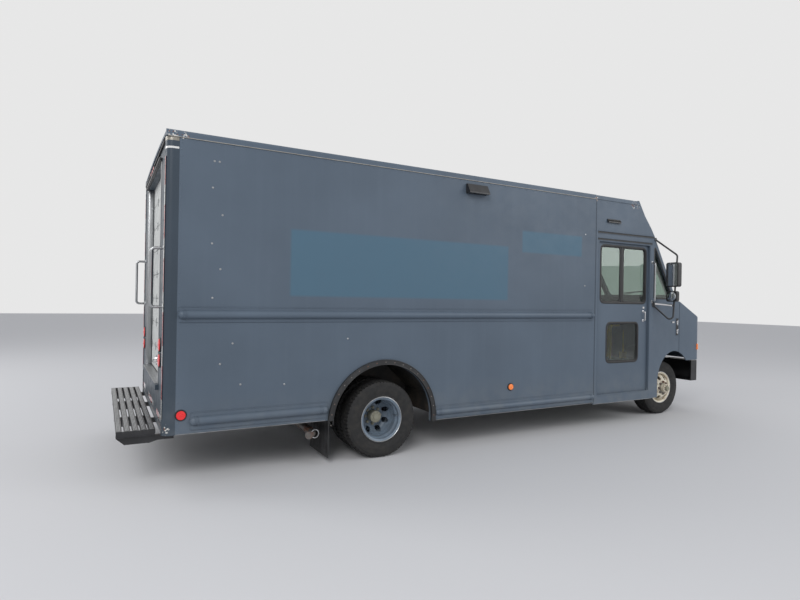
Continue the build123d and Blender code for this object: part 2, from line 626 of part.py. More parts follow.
def windshield_frame():
    nx, nz = SCREEN_NORMAL
    outline = [
        (SCREEN_FOOT_X, SCREEN_FOOT_Z), (SCREEN_HEAD_X, SCREEN_HEAD_Z),
        (SCREEN_HEAD_X - nx * SCREEN_THICK, SCREEN_HEAD_Z - nz * SCREEN_THICK),
        (SCREEN_FOOT_X - nx * SCREEN_THICK, SCREEN_FOOT_Z - nz * SCREEN_THICK),
    ]
    frame = side_plate(outline, (-BODY_HALF, BODY_HALF)) & cab_inside(WALL, (SCREEN_FOOT_Z - 60, SCREEN_HEAD_Z))
    for pane in both(screen_pane(0, -5, SCREEN_THICK + 5)):
        frame -= pane
    return frame


keep("cab_glass", *quarter_panes, *both(screen_pane(GLASS_LAP, SCREEN_THICK, SCREEN_THICK + GLASS_THICK)))

# Scuttle between windshield and hood, and the firewall down to the floor
FIREWALL_THICK = 20
FIREWALL_X = CAB_FRONT - FIREWALL_THICK
SCUTTLE_THICK = 22
TUNNEL_HALF = 380           # engine tunnel through the firewall
TUNNEL_TOP = FLOOR_TOP + 450
LINER_RADIUS = TYRE_RADIUS + 102    # inner wheel arch liner, wide enough for the steered tyre
LINER_SKIN = 6
LINER_Z = AXLE_Z + 80
LINER_IN = RAIL_HALF + 30
LINER_OUT = taper_half(CAB_FRONT, WALL) - 2


def firewall():
    half = taper_half(CAB_FRONT, WALL)
    wall = block((FIREWALL_X, CAB_FRONT), (-half, half), (LINER_Z, HOOD_REAR_Z - SCUTTLE_THICK))
    wall -= block((FIREWALL_X - 1, CAB_FRONT + 1), (-TUNNEL_HALF, TUNNEL_HALF), (LINER_Z - 1, TUNNEL_TOP))
    for sign in (-1, 1):
        y = sorted((sign * RAIL_HALF / 2, sign * (half + 1)))
        wall -= arch_cut(FRONT_AXLE, LINER_Z, LINER_RADIUS + LINER_SKIN, y, LINER_Z - 100)
    nx, nz = SCREEN_NORMAL
    foot = (SCREEN_FOOT_X - nx * SCREEN_THICK, SCREEN_FOOT_Z - nz * SCREEN_THICK)
    outline = [foot, (SCREEN_FOOT_X, SCREEN_FOOT_Z), (CAB_FRONT, HOOD_REAR_Z), (CAB_FRONT, HOOD_REAR_Z - SCUTTLE_THICK),
               (foot[0], foot[1] - SCUTTLE_THICK)]
    return wall + (side_plate(outline, (-half, half)) & cab_inside(WALL, (foot[1] - SCUTTLE_THICK, SCREEN_FOOT_Z)))


keep("cab_front", windshield_frame() + firewall())


def arch_liner():
    y = (-LINER_OUT, -LINER_IN)
    low = LINER_Z - 100
    shell = arch_cut(FRONT_AXLE, LINER_Z, LINER_RADIUS + LINER_SKIN, y, low)
    shell -= arch_cut(FRONT_AXLE, LINER_Z, LINER_RADIUS, (y[0] - 1, y[1] + 1), low - 1)
    return shell & block((FRONT_AXLE - 700, CAB_FRONT), (y[0] - 1, y[1] + 1), (low, LINER_Z + 600))


houses = [half for sheet in wheel_house() for half in both(sheet)]
keep("wheel_houses", *houses)
keep("arch_liners", *both(arch_liner()))

# Cab floor with a low step inside each sliding door
STEP_WELL_IN = BODY_HALF - 420
STEP_WELL_Z = DOOR_LOW + 20
STEP_SHEET = 8
CAB_FLOOR_REAR = BULKHEAD_X + BULKHEAD_THICK
CAB_FLOOR_FRONT = FRONT_AXLE - LINER_RADIUS - LINER_SKIN


def cab_floor():
    low = FLOOR_TOP - FLOOR_THICK
    floor = block((CAB_FLOOR_REAR, CAB_FLOOR_FRONT), (-STEP_WELL_IN, STEP_WELL_IN), (low, FLOOR_TOP))
    for sign in (-1, 1):
        riser_in = sign * STEP_WELL_IN
        riser = sorted((riser_in, riser_in - sign * STEP_SHEET))
        tread = sorted((riser_in, sign * POCKET_IN))
        well = (DOOR_REAR + 10, DOOR_FRONT - 10)
        floor += block(well, riser, (STEP_WELL_Z, low))
        floor += block(well, tread, (STEP_WELL_Z, STEP_WELL_Z + STEP_SHEET))
        side = sorted((riser_in - sign * STEP_SHEET, sign * POCKET_IN))
        for x in (well[0] - STEP_SHEET, well[1]):
            floor += block((x, x + STEP_SHEET), side, (STEP_WELL_Z, FLOOR_TOP))
        corner = sorted((riser_in, sign * POCKET_IN))
        floor += block((well[1], CAB_FLOOR_FRONT), corner, (low, FLOOR_TOP))
        floor += block((CAB_FLOOR_REAR, well[0]), corner, (low, FLOOR_TOP))
    return floor


keep("cab_floor", cab_floor())


# Bulkhead behind the cab, with the walk-through doorway
WALK_HALF = 330
WALK_HIGH = ROOF_EDGE - 258


def bulkhead():
    wall = block((BULKHEAD_X, CAB_FLOOR_REAR), (-POCKET_IN, POCKET_IN), (FLOOR_TOP, ROOF_EDGE))
    return wall - block((BULKHEAD_X - 1, CAB_FLOOR_REAR + 1), (-WALK_HALF, WALK_HALF), (FLOOR_TOP - 1, WALK_HIGH))


keep("bulkhead", bulkhead())

# Sliding cab doors: hollow-looking panel with two windows, hung on rollers
UPPER_WINDOW_X = (DOOR_REAR + 73, DOOR_FRONT - 40)
UPPER_WINDOW_Z = (DOOR_HIGH - 760, DOOR_HIGH - 40)
LOWER_WINDOW_X = (DOOR_REAR + 193, DOOR_FRONT - 180)
LOWER_WINDOW_Z = (DOOR_LOW + 390, DOOR_LOW + 890)
WINDOW_CORNER = 70
HANGER_X = (DOOR_REAR + 150, DOOR_FRONT - 150)
HANGER_THICK = 8
TRACK_RISE = 110            # door's head to the rolling face inside the track
TRACK_Z = DOOR_HIGH + TRACK_RISE
MULLION_X = (DOOR_REAR + DOOR_FRONT) / 2 - 11.5
MULLION_HALF = 14
HANDLE_X = DOOR_FRONT - 80
HANDLE_Z = UPPER_WINDOW_Z[0] - 166
HANDLE_HALF = 60
HANDLE_REACH = 30
HANDLE_RADIUS = 7


def sliding_door():
    reach = (-DOOR_OUT - 5, -DOOR_IN + 5)
    x = (DOOR_REAR - DOOR_LAP, DOOR_FRONT + DOOR_LAP)
    door = block(x, (-DOOR_OUT, -DOOR_IN), (DOOR_LOW - DOOR_LAP, DOOR_HIGH + DOOR_LAP))
    door -= window_x(UPPER_WINDOW_X, UPPER_WINDOW_Z, reach, WINDOW_CORNER)
    door -= window_x(LOWER_WINDOW_X, LOWER_WINDOW_Z, reach, WINDOW_CORNER)
    middle = -(DOOR_OUT + DOOR_IN) / 2
    door += block((MULLION_X - MULLION_HALF, MULLION_X + MULLION_HALF), (middle - 10, middle + 10), UPPER_WINDOW_Z)
    roller_z = TRACK_Z + SEAT_GAP + ROLLER_RADIUS
    for hanger in HANGER_X:
        plate = block((hanger - 40, hanger + 40), (middle - HANGER_THICK / 2, middle + HANGER_THICK / 2),
                      (DOOR_HIGH + DOOR_LAP, roller_z))
        roller = disc_y(hanger, roller_z, ROLLER_RADIUS, (middle - 13, middle + 13))
        door += plate + roller
    return door


def door_handle():
    """Pull handle: a bowed bar on two feet."""
    face = -DOOR_OUT
    out = face - HANDLE_REACH
    low, high = HANDLE_Z - HANDLE_HALF, HANDLE_Z + HANDLE_HALF
    points = [(HANDLE_X, face, low), (HANDLE_X, out, low), (HANDLE_X, out, high), (HANDLE_X, face, high)]
    return tube(points, HANDLE_RADIUS, 2 * HANDLE_RADIUS)


def door_glass():
    middle = -(DOOR_OUT + DOOR_IN) / 2
    y = (middle - GLASS_THICK / 2, middle + GLASS_THICK / 2)
    upper = window_x(UPPER_WINDOW_X, UPPER_WINDOW_Z, y, WINDOW_CORNER)
    mullion = (MULLION_X - MULLION_HALF, MULLION_X + MULLION_HALF)
    upper -= block(mullion, (y[0] - 1, y[1] + 1), (UPPER_WINDOW_Z[0] - 1, UPPER_WINDOW_Z[1] + 1))
    return upper, window_x(LOWER_WINDOW_X, LOWER_WINDOW_Z, y, WINDOW_CORNER)


keep_pair("cab_door", sliding_door())
keep_pair("door_handle", door_handle())
upper_glass, lower_glass = door_glass()
keep("door_glass_right", *upper_glass.solids(), *lower_glass.solids())
keep("door_glass_left", *[mirror(pane, about=Plane.XZ) for pane in upper_glass.solids() + lower_glass.solids()])

# Door tracks: slotted box rails on the inside of the walls
TRACK_HALF = SLIDE_GAP + DOOR_THICK / 2
TRACK_SLOT_HALF = HANGER_THICK / 2 + SLIDE_GAP
TRACK_TOP = TRACK_Z + 2 * ROLLER_RADIUS + SLIDE_GAP + TRACK_WALL


def door_track():
    x = (HANGER_X[0] - DOOR_TRAVEL - 60, HANGER_X[1] + 60)
    middle = -(DOOR_OUT + DOOR_IN) / 2
    bar = block(x, (middle - TRACK_HALF, middle + TRACK_HALF), (TRACK_Z - TRACK_WALL, TRACK_TOP))
    inner = TRACK_HALF - TRACK_WALL
    ends = (x[0] - 1, x[1] + 1)
    bar -= block(ends, (middle - inner, middle + inner), (TRACK_Z, TRACK_TOP - TRACK_WALL))
    return bar - block(ends, (middle - TRACK_SLOT_HALF, middle + TRACK_SLOT_HALF), (TRACK_Z - TRACK_WALL - 1, TRACK_Z + 1))


keep("door_tracks", *both(door_track()))

# Tilting hood: a thin shell of the nose, hinged at its lower front edge
NOSE_ROUND = 90
HOOD_EDGE_ROUND = 45
GRILLE_HALF = 430
GRILLE_Z = (HOOD_LOW_Z + 140, HOOD_LOW_Z + 460)
LAMP_Y = NOSE_HALF - 348
LAMP_HALF = 125
LAMP_Z = (HOOD_LOW_Z + 215, HOOD_LOW_Z + 385)
LAMP_CORNER = 30
HINGE_X = HOOD_FACE + 16
HINGE_Z = BUMPER_Z[1] + 18
HINGE_Y = 300
HINGE_BOSS = 13
HINGE_PIN = 6
HINGE_LUG = 40
HINGE_EAR = 12


def nose_plan(inset, z, start):
    """Plan of the nose, inset from the outer skin, between two heights."""
    side = HOOD_FACE - NOSE_BOW - inset
    corner_y = NOSE_HALF - inset
    seam_y = SEAM_HALF - inset
    bow = ThreePointArc((side, -corner_y), (HOOD_FACE - inset, 0), (side, corner_y))
    rest = Polyline((side, corner_y), (start, seam_y), (start, -seam_y), (side, -corner_y))
    solid = extrude(make_face(Plane(origin=(0, 0, z[0])) * (bow + rest)), z[1] - z[0], dir=(0, 0, 1))
    corners = solid.edges().filter_by(Axis.Z).sort_by(Axis.X)[-2:]
    return fillet(corners, NOSE_CORNER - inset)


def nose_profile(inset, low, start):
    """Side view of the nose, inset below and behind its outer skin."""
    slope = (HOOD_REAR_Z - HOOD_BREAK_Z) / (HOOD_BREAK_X - HOOD_SEAM)
    face = HOOD_FACE + 10
    brow = HOOD_BREAK_Z - (HOOD_FACE - HOOD_BREAK_X) * slope
    points = [(start, low), (start, HOOD_REAR_Z - inset + (HOOD_SEAM - start) * slope),
              (HOOD_FACE - inset, brow + inset * slope - inset), (HOOD_FACE - inset, low)]
    solid = side_plate(points, (-BODY_HALF, BODY_HALF))
    edge = solid.edges().filter_by(Axis.Y).sort_by(Axis.X)[-2:].sort_by(Axis.Z)[-1]
    return fillet(edge, NOSE_ROUND - inset)


def hinge_lugs(y, x_back):
    """Bossed lug on the hinge axis, reaching back into the hood's lower front edge."""
    boss = disc_y(HINGE_X, HINGE_Z, HINGE_BOSS, (y - HINGE_LUG / 2, y + HINGE_LUG / 2))
    web = block((x_back, HINGE_X), (y - HINGE_LUG / 2, y + HINGE_LUG / 2), (HINGE_Z + 2, HINGE_Z + HINGE_BOSS + 14))
    return boss + web


def hood():
    outer = nose_plan(0, (HOOD_LOW_Z, HOOD_REAR_Z + 20), HOOD_SEAM) & nose_profile(0, HOOD_LOW_Z, HOOD_SEAM)
    hollow = nose_plan(HOOD_SHELL, (HOOD_LOW_Z - 20, HOOD_REAR_Z), HOOD_SEAM - 30)
    hollow = hollow & nose_profile(HOOD_SHELL, HOOD_LOW_Z - 20, HOOD_SEAM - 30)
    shell = outer - hollow
    shell -= arch_cut(FRONT_AXLE, FRONT_ARCH_Z, FRONT_ARCH_RADIUS, (-BODY_HALF, BODY_HALF), CAB_SILL_Z)
    shell -= block((HOOD_FACE - 120, HOOD_FACE + 20), (-GRILLE_HALF, GRILLE_HALF), GRILLE_Z)
    for y in (-LAMP_Y, LAMP_Y):
        plane = Plane(origin=(HOOD_FACE - 120, y, sum(LAMP_Z) / 2), x_dir=(0, 1, 0), z_dir=(1, 0, 0))
        shape = plane * RectangleRounded(2 * LAMP_HALF, LAMP_Z[1] - LAMP_Z[0], LAMP_CORNER)
        shell -= extrude(shape, 160, dir=(1, 0, 0))
    for y in (-HINGE_Y, HINGE_Y):
        shell += hinge_lugs(y, HOOD_FACE - HOOD_SHELL)
        shell -= disc_y(HINGE_X, HINGE_Z, HINGE_PIN + PIN_GAP, (y - HINGE_LUG, y + HINGE_LUG))
    return shell


keep("hood", hood())

# Grille of horizontal slats in its frame, and the two headlamps
GRILLE_BARS = 7
GRILLE_FRAME = 26
GRILLE_DEPTH = 46
LAMP_SET = NOSE_BOW * ((LAMP_Y + LAMP_HALF) / NOSE_HALF) ** 2 + 4
LAMP_DEPTH = 60


def grille():
    front = HOOD_FACE - NOSE_BOW * (GRILLE_HALF / NOSE_HALF) ** 2 - 2
    x = (front - GRILLE_DEPTH, front)
    frame = block(x, (-GRILLE_HALF, GRILLE_HALF), GRILLE_Z)
    inner = (GRILLE_Z[0] + GRILLE_FRAME, GRILLE_Z[1] - GRILLE_FRAME)
    frame -= block((x[0] - 1, x[1] + 1), (-GRILLE_HALF + GRILLE_FRAME, GRILLE_HALF - GRILLE_FRAME), inner)
    pitch = (inner[1] - inner[0]) / (GRILLE_BARS + 1)
    for index in range(GRILLE_BARS):
        z = inner[0] + (index + 1) * pitch
        frame += block((x[0] + 6, x[1] - 6), (-GRILLE_HALF, GRILLE_HALF), (z - pitch / 5, z + pitch / 5))
    return frame


def headlamp(y):
    front = HOOD_FACE - LAMP_SET
    plane = Plane(origin=(front - LAMP_DEPTH, y, sum(LAMP_Z) / 2), x_dir=(0, 1, 0), z_dir=(1, 0, 0))
    shape = plane * RectangleRounded(2 * LAMP_HALF, LAMP_Z[1] - LAMP_Z[0], LAMP_CORNER)
    return extrude(shape, LAMP_DEPTH, dir=(1, 0, 0))


keep("grille", grille())
keep("headlamps", headlamp(-LAMP_Y), headlamp(LAMP_Y))

# Amber corner lamps wrapped round the nose corners
CORNER_LAMP_X = (HOOD_FACE - 157, HOOD_FACE - 62)
CORNER_LAMP_Z = (HOOD_LOW_Z + 145, HOOD_LOW_Z + 225)
CORNER_LAMP_PROUD = 14


def corner_lamp():
    ring = nose_plan(-CORNER_LAMP_PROUD, CORNER_LAMP_Z, HOOD_SEAM) - nose_plan(0, CORNER_LAMP_Z, HOOD_SEAM)
    return ring & block(CORNER_LAMP_X, (-BODY_HALF, -LAMP_Y), CORNER_LAMP_Z)


keep("corner_lamps", *both(corner_lamp()))

# Front bumper: a folded steel channel with swept ends, on brackets from the frame
BUMPER_HALF = BODY_HALF - 210
BUMPER_DEPTH = 190
BUMPER_SKIN = 8
BUMPER_SWEEP = 60


def bumper_plan(inset, back):
    face = BUMPER_FACE - inset
    half = BUMPER_HALF - inset
    points = [(back, -half), (face - BUMPER_SWEEP, -half), (face, -half + BUMPER_SWEEP)]
    return points + [(x, -y) for x, y in reversed(points)]


def front_bumper():
    back = BUMPER_FACE - BUMPER_DEPTH
    bar = plan_plate(bumper_plan(0, back), BUMPER_Z)
    bar -= plan_plate(bumper_plan(BUMPER_SKIN, back - 1), (BUMPER_Z[0] + BUMPER_SKIN, BUMPER_Z[1] - BUMPER_SKIN))
    for y in (-RAIL_HALF, RAIL_HALF - BUMPER_SKIN):
        bar += block((RAIL_FRONT, BUMPER_FACE - BUMPER_SKIN), (y, y + BUMPER_SKIN), (RAIL_LOW, RAIL_HIGH))
    for y in (-HINGE_Y, HINGE_Y):
        bar += disc_y(HINGE_X, HINGE_Z, HINGE_PIN, (y - HINGE_LUG / 2 - HINGE_EAR, y + HINGE_LUG / 2 + HINGE_EAR))
        for side in (y - HINGE_LUG / 2 - HINGE_EAR, y + HINGE_LUG / 2 + 2):
            ear = (side, side + HINGE_EAR - 2)
            bar += block((HINGE_X - HINGE_BOSS, HINGE_X + HINGE_BOSS), ear, (BUMPER_Z[1], HINGE_Z + HINGE_BOSS))
    return bar


keep("front_bumper", front_bumper())

# Ladder frame: two channel rails and tubular cross members
CROSS_MEMBER_X = [BODY_REAR + 200, REAR_AXLE - 932, REAR_AXLE + 768, FRONT_AXLE - 2603, FRONT_AXLE - 1403]
CROSS_MEMBER_RADIUS = 32
CROSS_MEMBER_Z = RAIL_HIGH - CROSS_MEMBER_RADIUS - 8


def ladder_frame():
    web = block((RAIL_REAR, RAIL_FRONT), (-RAIL_HALF, -RAIL_HALF + RAIL_FLANGE), (RAIL_LOW, RAIL_HIGH))
    hollow = (-RAIL_HALF + RAIL_WALL, -RAIL_HALF + RAIL_FLANGE + 1)
    rail = web - block((RAIL_REAR - 1, RAIL_FRONT + 1), hollow, (RAIL_LOW + RAIL_WALL, RAIL_HIGH - RAIL_WALL))
    frame = rail + mirror(rail, about=Plane.XZ)
    for x in CROSS_MEMBER_X:
        frame += disc_y(x, CROSS_MEMBER_Z, CROSS_MEMBER_RADIUS, (-RAIL_HALF + RAIL_WALL, RAIL_HALF - RAIL_WALL))
    return frame


keep("ladder_frame", ladder_frame())

# Leaf springs: main leaf, two shorter leaves, clamp block and end hangers
LEAF_THICK = 14
REAR_SPRING_HALF = 700
FRONT_SPRING_HALF = 560
REAR_SPRING_Y = (RAIL_HALF + 4, RAIL_HALF + 74)
FRONT_SPRING_Y = (RAIL_HALF - 66, RAIL_HALF - 2)
REAR_TUBE_RADIUS = 58
FRONT_BEAM_TOP = AXLE_Z - 12
FRONT_BEAM_LOW = AXLE_Z - 72


def leaf(x, half, low, rise, y):
    """One curved leaf, a constant thickness strip between two arcs."""
    plane = Plane(origin=(0, y[1], 0), x_dir=(1, 0, 0), z_dir=(0, -1, 0))
    lower = ThreePointArc((x - half, low + rise), (x, low), (x + half, low + rise))
    upper = ThreePointArc((x + half, low + rise + LEAF_THICK), (x, low + LEAF_THICK), (x - half, low + rise + LEAF_THICK))
    ends = Line((x + half, low + rise), (x + half, low + rise + LEAF_THICK))
    ends += Line((x - half, low + rise + LEAF_THICK), (x - half, low + rise))
    return extrude(make_face(plane * (lower + upper + ends)), y[1] - y[0], dir=(0, -1, 0))


def spring_pack(x, half, seat, rise, y):
    """Right-hand spring pack on a seat height; y runs outward from the centre plane."""
    span = (-y[1], -y[0])
    pack = leaf(x, half * 0.45, seat, rise * 0.45 ** 2, span)
    pack += leaf(x, half * 0.72, seat + LEAF_THICK, rise * 0.72 ** 2, span)
    pack += leaf(x, half, seat + 2 * LEAF_THICK, rise, span)
    return pack + block((x - 60, x + 60), span, (seat, seat + 3 * LEAF_THICK + 12))


def leaf_springs():
    seat = AXLE_Z + REAR_TUBE_RADIUS
    rear = spring_pack(REAR_AXLE, REAR_SPRING_HALF, seat, 60, REAR_SPRING_Y)
    eye = seat + 2 * LEAF_THICK + 60
    for x in (REAR_AXLE - REAR_SPRING_HALF, REAR_AXLE + REAR_SPRING_HALF):
        rear += block((x - 35, x + 35), (-REAR_SPRING_Y[1], -RAIL_HALF), (eye, eye + 90))
    front = spring_pack(FRONT_AXLE, FRONT_SPRING_HALF, FRONT_BEAM_TOP, 40, FRONT_SPRING_Y)
    eye = FRONT_BEAM_TOP + 2 * LEAF_THICK + 40
    for x in (FRONT_AXLE - FRONT_SPRING_HALF, FRONT_AXLE + FRONT_SPRING_HALF):
        front += block((x - 30, x + 30), (-FRONT_SPRING_Y[1], -FRONT_SPRING_Y[0]), (eye, RAIL_LOW))
    return [rear, front]


keep("leaf_springs", *[side for spring in leaf_springs() for side in both(spring)])

# Rear axle: tube, differential housing, brake backing plates and spindles
DUAL_INNER_Y = DUAL_OUTER_Y - DUAL_SPACING
DISC_OFFSET = DUAL_SPACING / 2
DUAL_FACE_Y = (DUAL_OUTER_Y + DUAL_INNER_Y) / 2
BACKING_RADIUS = 160
REAR_BACKING_Y = DUAL_INNER_Y - 86
REAR_SPINDLE_END = DUAL_FACE_Y + 70


def rear_axle():
    axle = disc_y(REAR_AXLE, AXLE_Z, REAR_TUBE_RADIUS, (-REAR_BACKING_Y, REAR_BACKING_Y))
    axle += Pos(REAR_AXLE, 0, AXLE_Z) * Sphere(150)
    axle += disc_x(0, AXLE_Z, 70, (REAR_AXLE, REAR_AXLE + 230))
    axle += disc_y(REAR_AXLE, AXLE_Z, REAR_SPINDLE_RADIUS, (-REAR_SPINDLE_END, REAR_SPINDLE_END))
    for sign in (-1, 1):
        axle += disc_y(REAR_AXLE, AXLE_Z, BACKING_RADIUS, sorted((sign * REAR_BACKING_Y, sign * (REAR_BACKING_Y + 8))))
    return axle


# Front beam axle with its king pins
BOSS_RADIUS = 34
BOSS_Z = (AXLE_Z - 30, AXLE_Z + 30)
EAR_THICK = 44
BEAM_HALF_X = 38
BEAM_CRANK = 42             # front spring to the beam's upward crank


def front_axle():
    crank = FRONT_SPRING_Y[1] + BEAM_CRANK
    bend = (crank + KINGPIN_Y) / 2 - BEAM_CRANK / 2
    right = [(0, FRONT_BEAM_LOW), (-crank, FRONT_BEAM_LOW), (-bend, BOSS_Z[0] + 3), (-KINGPIN_Y, BOSS_Z[0] + 3),
             (-KINGPIN_Y, BOSS_Z[1] - 3), (-bend, BOSS_Z[1] - 3), (-crank, FRONT_BEAM_TOP), (0, FRONT_BEAM_TOP)]
    half = cross_plate(right, (FRONT_AXLE - BEAM_HALF_X, FRONT_AXLE + BEAM_HALF_X))
    half += disc_z(FRONT_AXLE, -KINGPIN_Y, BOSS_RADIUS, BOSS_Z)
    pin = (BOSS_Z[0] - EAR_THICK, BOSS_Z[1] + EAR_THICK)
    half += disc_z(FRONT_AXLE, -KINGPIN_Y, KINGPIN_RADIUS, pin)
    return half + mirror(half, about=Plane.XZ)


keep("front_axle", front_axle())

# Steering knuckles: forked round the beam's boss, with spindle, backing plate and steering arm
UPRIGHT_Y = (KINGPIN_Y + BOSS_RADIUS + 7, KINGPIN_Y + BOSS_RADIUS + 46)
FRONT_BACKING_RADIUS = 150
FRONT_DISC_Y = FRONT_TRACK_HALF + DISC_OFFSET
SPINDLE_END = FRONT_DISC_Y - 20
BALL_RADIUS = 9


def knuckle():
    low_ear = (BOSS_Z[0] - EAR_THICK, BOSS_Z[0] - SEAT_GAP)
    high_ear = (BOSS_Z[1] + SEAT_GAP, BOSS_Z[1] + EAR_THICK)
    body = block((FRONT_AXLE - 34, FRONT_AXLE + 34), (-UPRIGHT_Y[1], -UPRIGHT_Y[0]), (low_ear[0], high_ear[1]))
    for ear in (low_ear, high_ear):
        body += disc_z(FRONT_AXLE, -KINGPIN_Y, BOSS_RADIUS, ear)
        body += block((FRONT_AXLE - 30, FRONT_AXLE + 30), (-UPRIGHT_Y[0], -KINGPIN_Y), ear)
    body -= disc_z(FRONT_AXLE, -KINGPIN_Y, KINGPIN_RADIUS + PIN_GAP, (low_ear[0] - 1, high_ear[1] + 1))
    body += disc_y(FRONT_AXLE, AXLE_Z, FRONT_BACKING_RADIUS, (-UPRIGHT_Y[1] - 6, -UPRIGHT_Y[1]))
    body += disc_y(FRONT_AXLE, AXLE_Z, HUB_SPINDLE_RADIUS, (-SPINDLE_END, -UPRIGHT_Y[1]))
    arm = (low_ear[0], low_ear[0] + 24)
    lever = block((FRONT_AXLE - ARM_LENGTH, FRONT_AXLE - BOSS_RADIUS + 10), (-KINGPIN_Y - 14, -KINGPIN_Y + 14), arm)
    lever += disc_z(FRONT_AXLE - ARM_LENGTH, -KINGPIN_Y, 20, arm)
    pin = disc_z(FRONT_AXLE - ARM_LENGTH, -KINGPIN_Y, BALL_RADIUS, (TIE_ROD_Z - 16, arm[0]))
    return body + lever + pin


keep_pair("knuckle", knuckle())


# Tie rod between the two steering arms, an eye round each ball pin
def tie_rod():
    x = FRONT_AXLE - ARM_LENGTH
    rod = disc_y(x, TIE_ROD_Z, 13, (-KINGPIN_Y, KINGPIN_Y))
    for y in (-KINGPIN_Y, KINGPIN_Y):
        rod += disc_z(x, y, 20, (TIE_ROD_Z - 14, TIE_ROD_Z + 14))
    for y in (-KINGPIN_Y, KINGPIN_Y):
        rod -= disc_z(x, y, BALL_RADIUS + PIN_GAP, (TIE_ROD_Z - 20, TIE_ROD_Z + 20))
    return rod


keep("tie_rod", tie_rod())

# Tyres and pressed steel wheels, as (radius, distance from the wheel's middle plane)
FLANGE_HALF = 96
FLANGE_RADIUS = 221
BEAD_GAP = 0.4


def turned(points, x, y, z):
    """A ring made by turning an (radius, offset) outline about a line along Y."""
    plane = Plane(origin=(x, y, z), x_dir=(1, 0, 0), z_dir=(0, 0, 1))
    return revolve(make_face(plane * Polyline(*points, close=True)), Axis((x, y, z), (0, 1, 0)))


def tyre(x, y):
    half = TYRE_WIDTH / 2
    seat = RIM_RADIUS + BEAD_GAP
    lip = FLANGE_RADIUS + BEAD_GAP
    side = [(seat, 58), (seat, 82), (lip, 88), (lip, 99), (265, half - 2), (300, half), (335, half - 4), (358, half - 13),
            (TYRE_RADIUS - 2, half - 27), (TYRE_RADIUS, 30)]
    other = [(radius, -offset) for radius, offset in reversed(side)]
    return turned(side + other + [(240, -50), (240, 50)], x, y, AXLE_Z)


def rim_barrel(x, y):
    outer = [(FLANGE_RADIUS, 96), (FLANGE_RADIUS, 89), (RIM_RADIUS, 83), (RIM_RADIUS, 52), (190, 34)]
    inner = [(182, 34), (194, 54), (194, 87), (212, 96)]
    points = outer + [(r, -w) for r, w in reversed(outer)] + [(r, -w) for r, w in reversed(inner)] + inner
    return turned(points, x, y, AXLE_Z)


def wheel_disc(x, y, side):
    """Dished disc with round hand holes; side is the way its mounting face looks along Y."""
    face = DISC_OFFSET
    points = [(186, 20), (178, 60), (160, face - 30), (126, face), (58, face), (58, face - 11), (121, face - 11),
              (151, face - 37), (170, 56), (178, 20)]
    disc = turned([(r, side * w) for r, w in points], x, y, AXLE_Z)
    for index in range(HAND_HOLE_COUNT):
        turn = math.radians((index + 0.5) * 360 / HAND_HOLE_COUNT)
        hole_x = x + HAND_HOLE_CIRCLE * math.cos(turn)
        hole_z = AXLE_Z + HAND_HOLE_CIRCLE * math.sin(turn)
        disc -= disc_y(hole_x, hole_z, HAND_HOLE_RADIUS, sorted((y + side * 15, y + side * (face + 10))))
    return disc


HUB_FLANGE = 112
HUB_RADIUS = 57
FRONT_HUB_OUT = 62
REAR_HUB_OUT = 96
ROTOR_RADIUS = 148


def front_wheel():
    y = -FRONT_TRACK_HALF
    face = -FRONT_DISC_Y
    wheel = rim_barrel(FRONT_AXLE, y) + wheel_disc(FRONT_AXLE, y, -1)
    back = -UPRIGHT_Y[1] - 14
    wheel += disc_y(FRONT_AXLE, AXLE_Z, HUB_FLANGE, (face + 11, face + 26))
    wheel += disc_y(FRONT_AXLE, AXLE_Z, HUB_RADIUS, (face - FRONT_HUB_OUT, back))
    wheel += disc_y(FRONT_AXLE, AXLE_Z, ROTOR_RADIUS, (back - 24, back))
    bore = disc_y(FRONT_AXLE, AXLE_Z, HUB_SPINDLE_RADIUS + PIN_GAP, (-SPINDLE_END - SEAT_GAP, back + 1))
    return wheel - bore


def rear_wheels():
    wheels = rim_barrel(REAR_AXLE, -DUAL_OUTER_Y) + wheel_disc(REAR_AXLE, -DUAL_OUTER_Y, 1)
    wheels += rim_barrel(REAR_AXLE, -DUAL_INNER_Y) + wheel_disc(REAR_AXLE, -DUAL_INNER_Y, -1)
    back = -REAR_BACKING_Y - 14
    wheels += disc_y(REAR_AXLE, AXLE_Z, HUB_RADIUS, (-DUAL_FACE_Y - REAR_HUB_OUT, back))
    wheels += disc_y(REAR_AXLE, AXLE_Z, HUB_FLANGE, (-DUAL_FACE_Y + 11, -DUAL_FACE_Y + 26))
    wheels += disc_y(REAR_AXLE, AXLE_Z, ROTOR_RADIUS, (back - 130, back))
    bore = disc_y(REAR_AXLE, AXLE_Z, REAR_SPINDLE_RADIUS + PIN_GAP, (-REAR_SPINDLE_END - SEAT_GAP, back + 1))
    return wheels - bore


keep_pair("front_tyre", tyre(FRONT_AXLE, -FRONT_TRACK_HALF))
keep_pair("front_wheel", front_wheel())
outer_tyre = tyre(REAR_AXLE, -DUAL_OUTER_Y)
inner_tyre = tyre(REAR_AXLE, -DUAL_INNER_Y)
keep("rear_tyres_right", outer_tyre, inner_tyre)
keep("rear_tyres_left", mirror(outer_tyre, about=Plane.XZ), mirror(inner_tyre, about=Plane.XZ))
keep_pair("rear_wheels", rear_wheels())

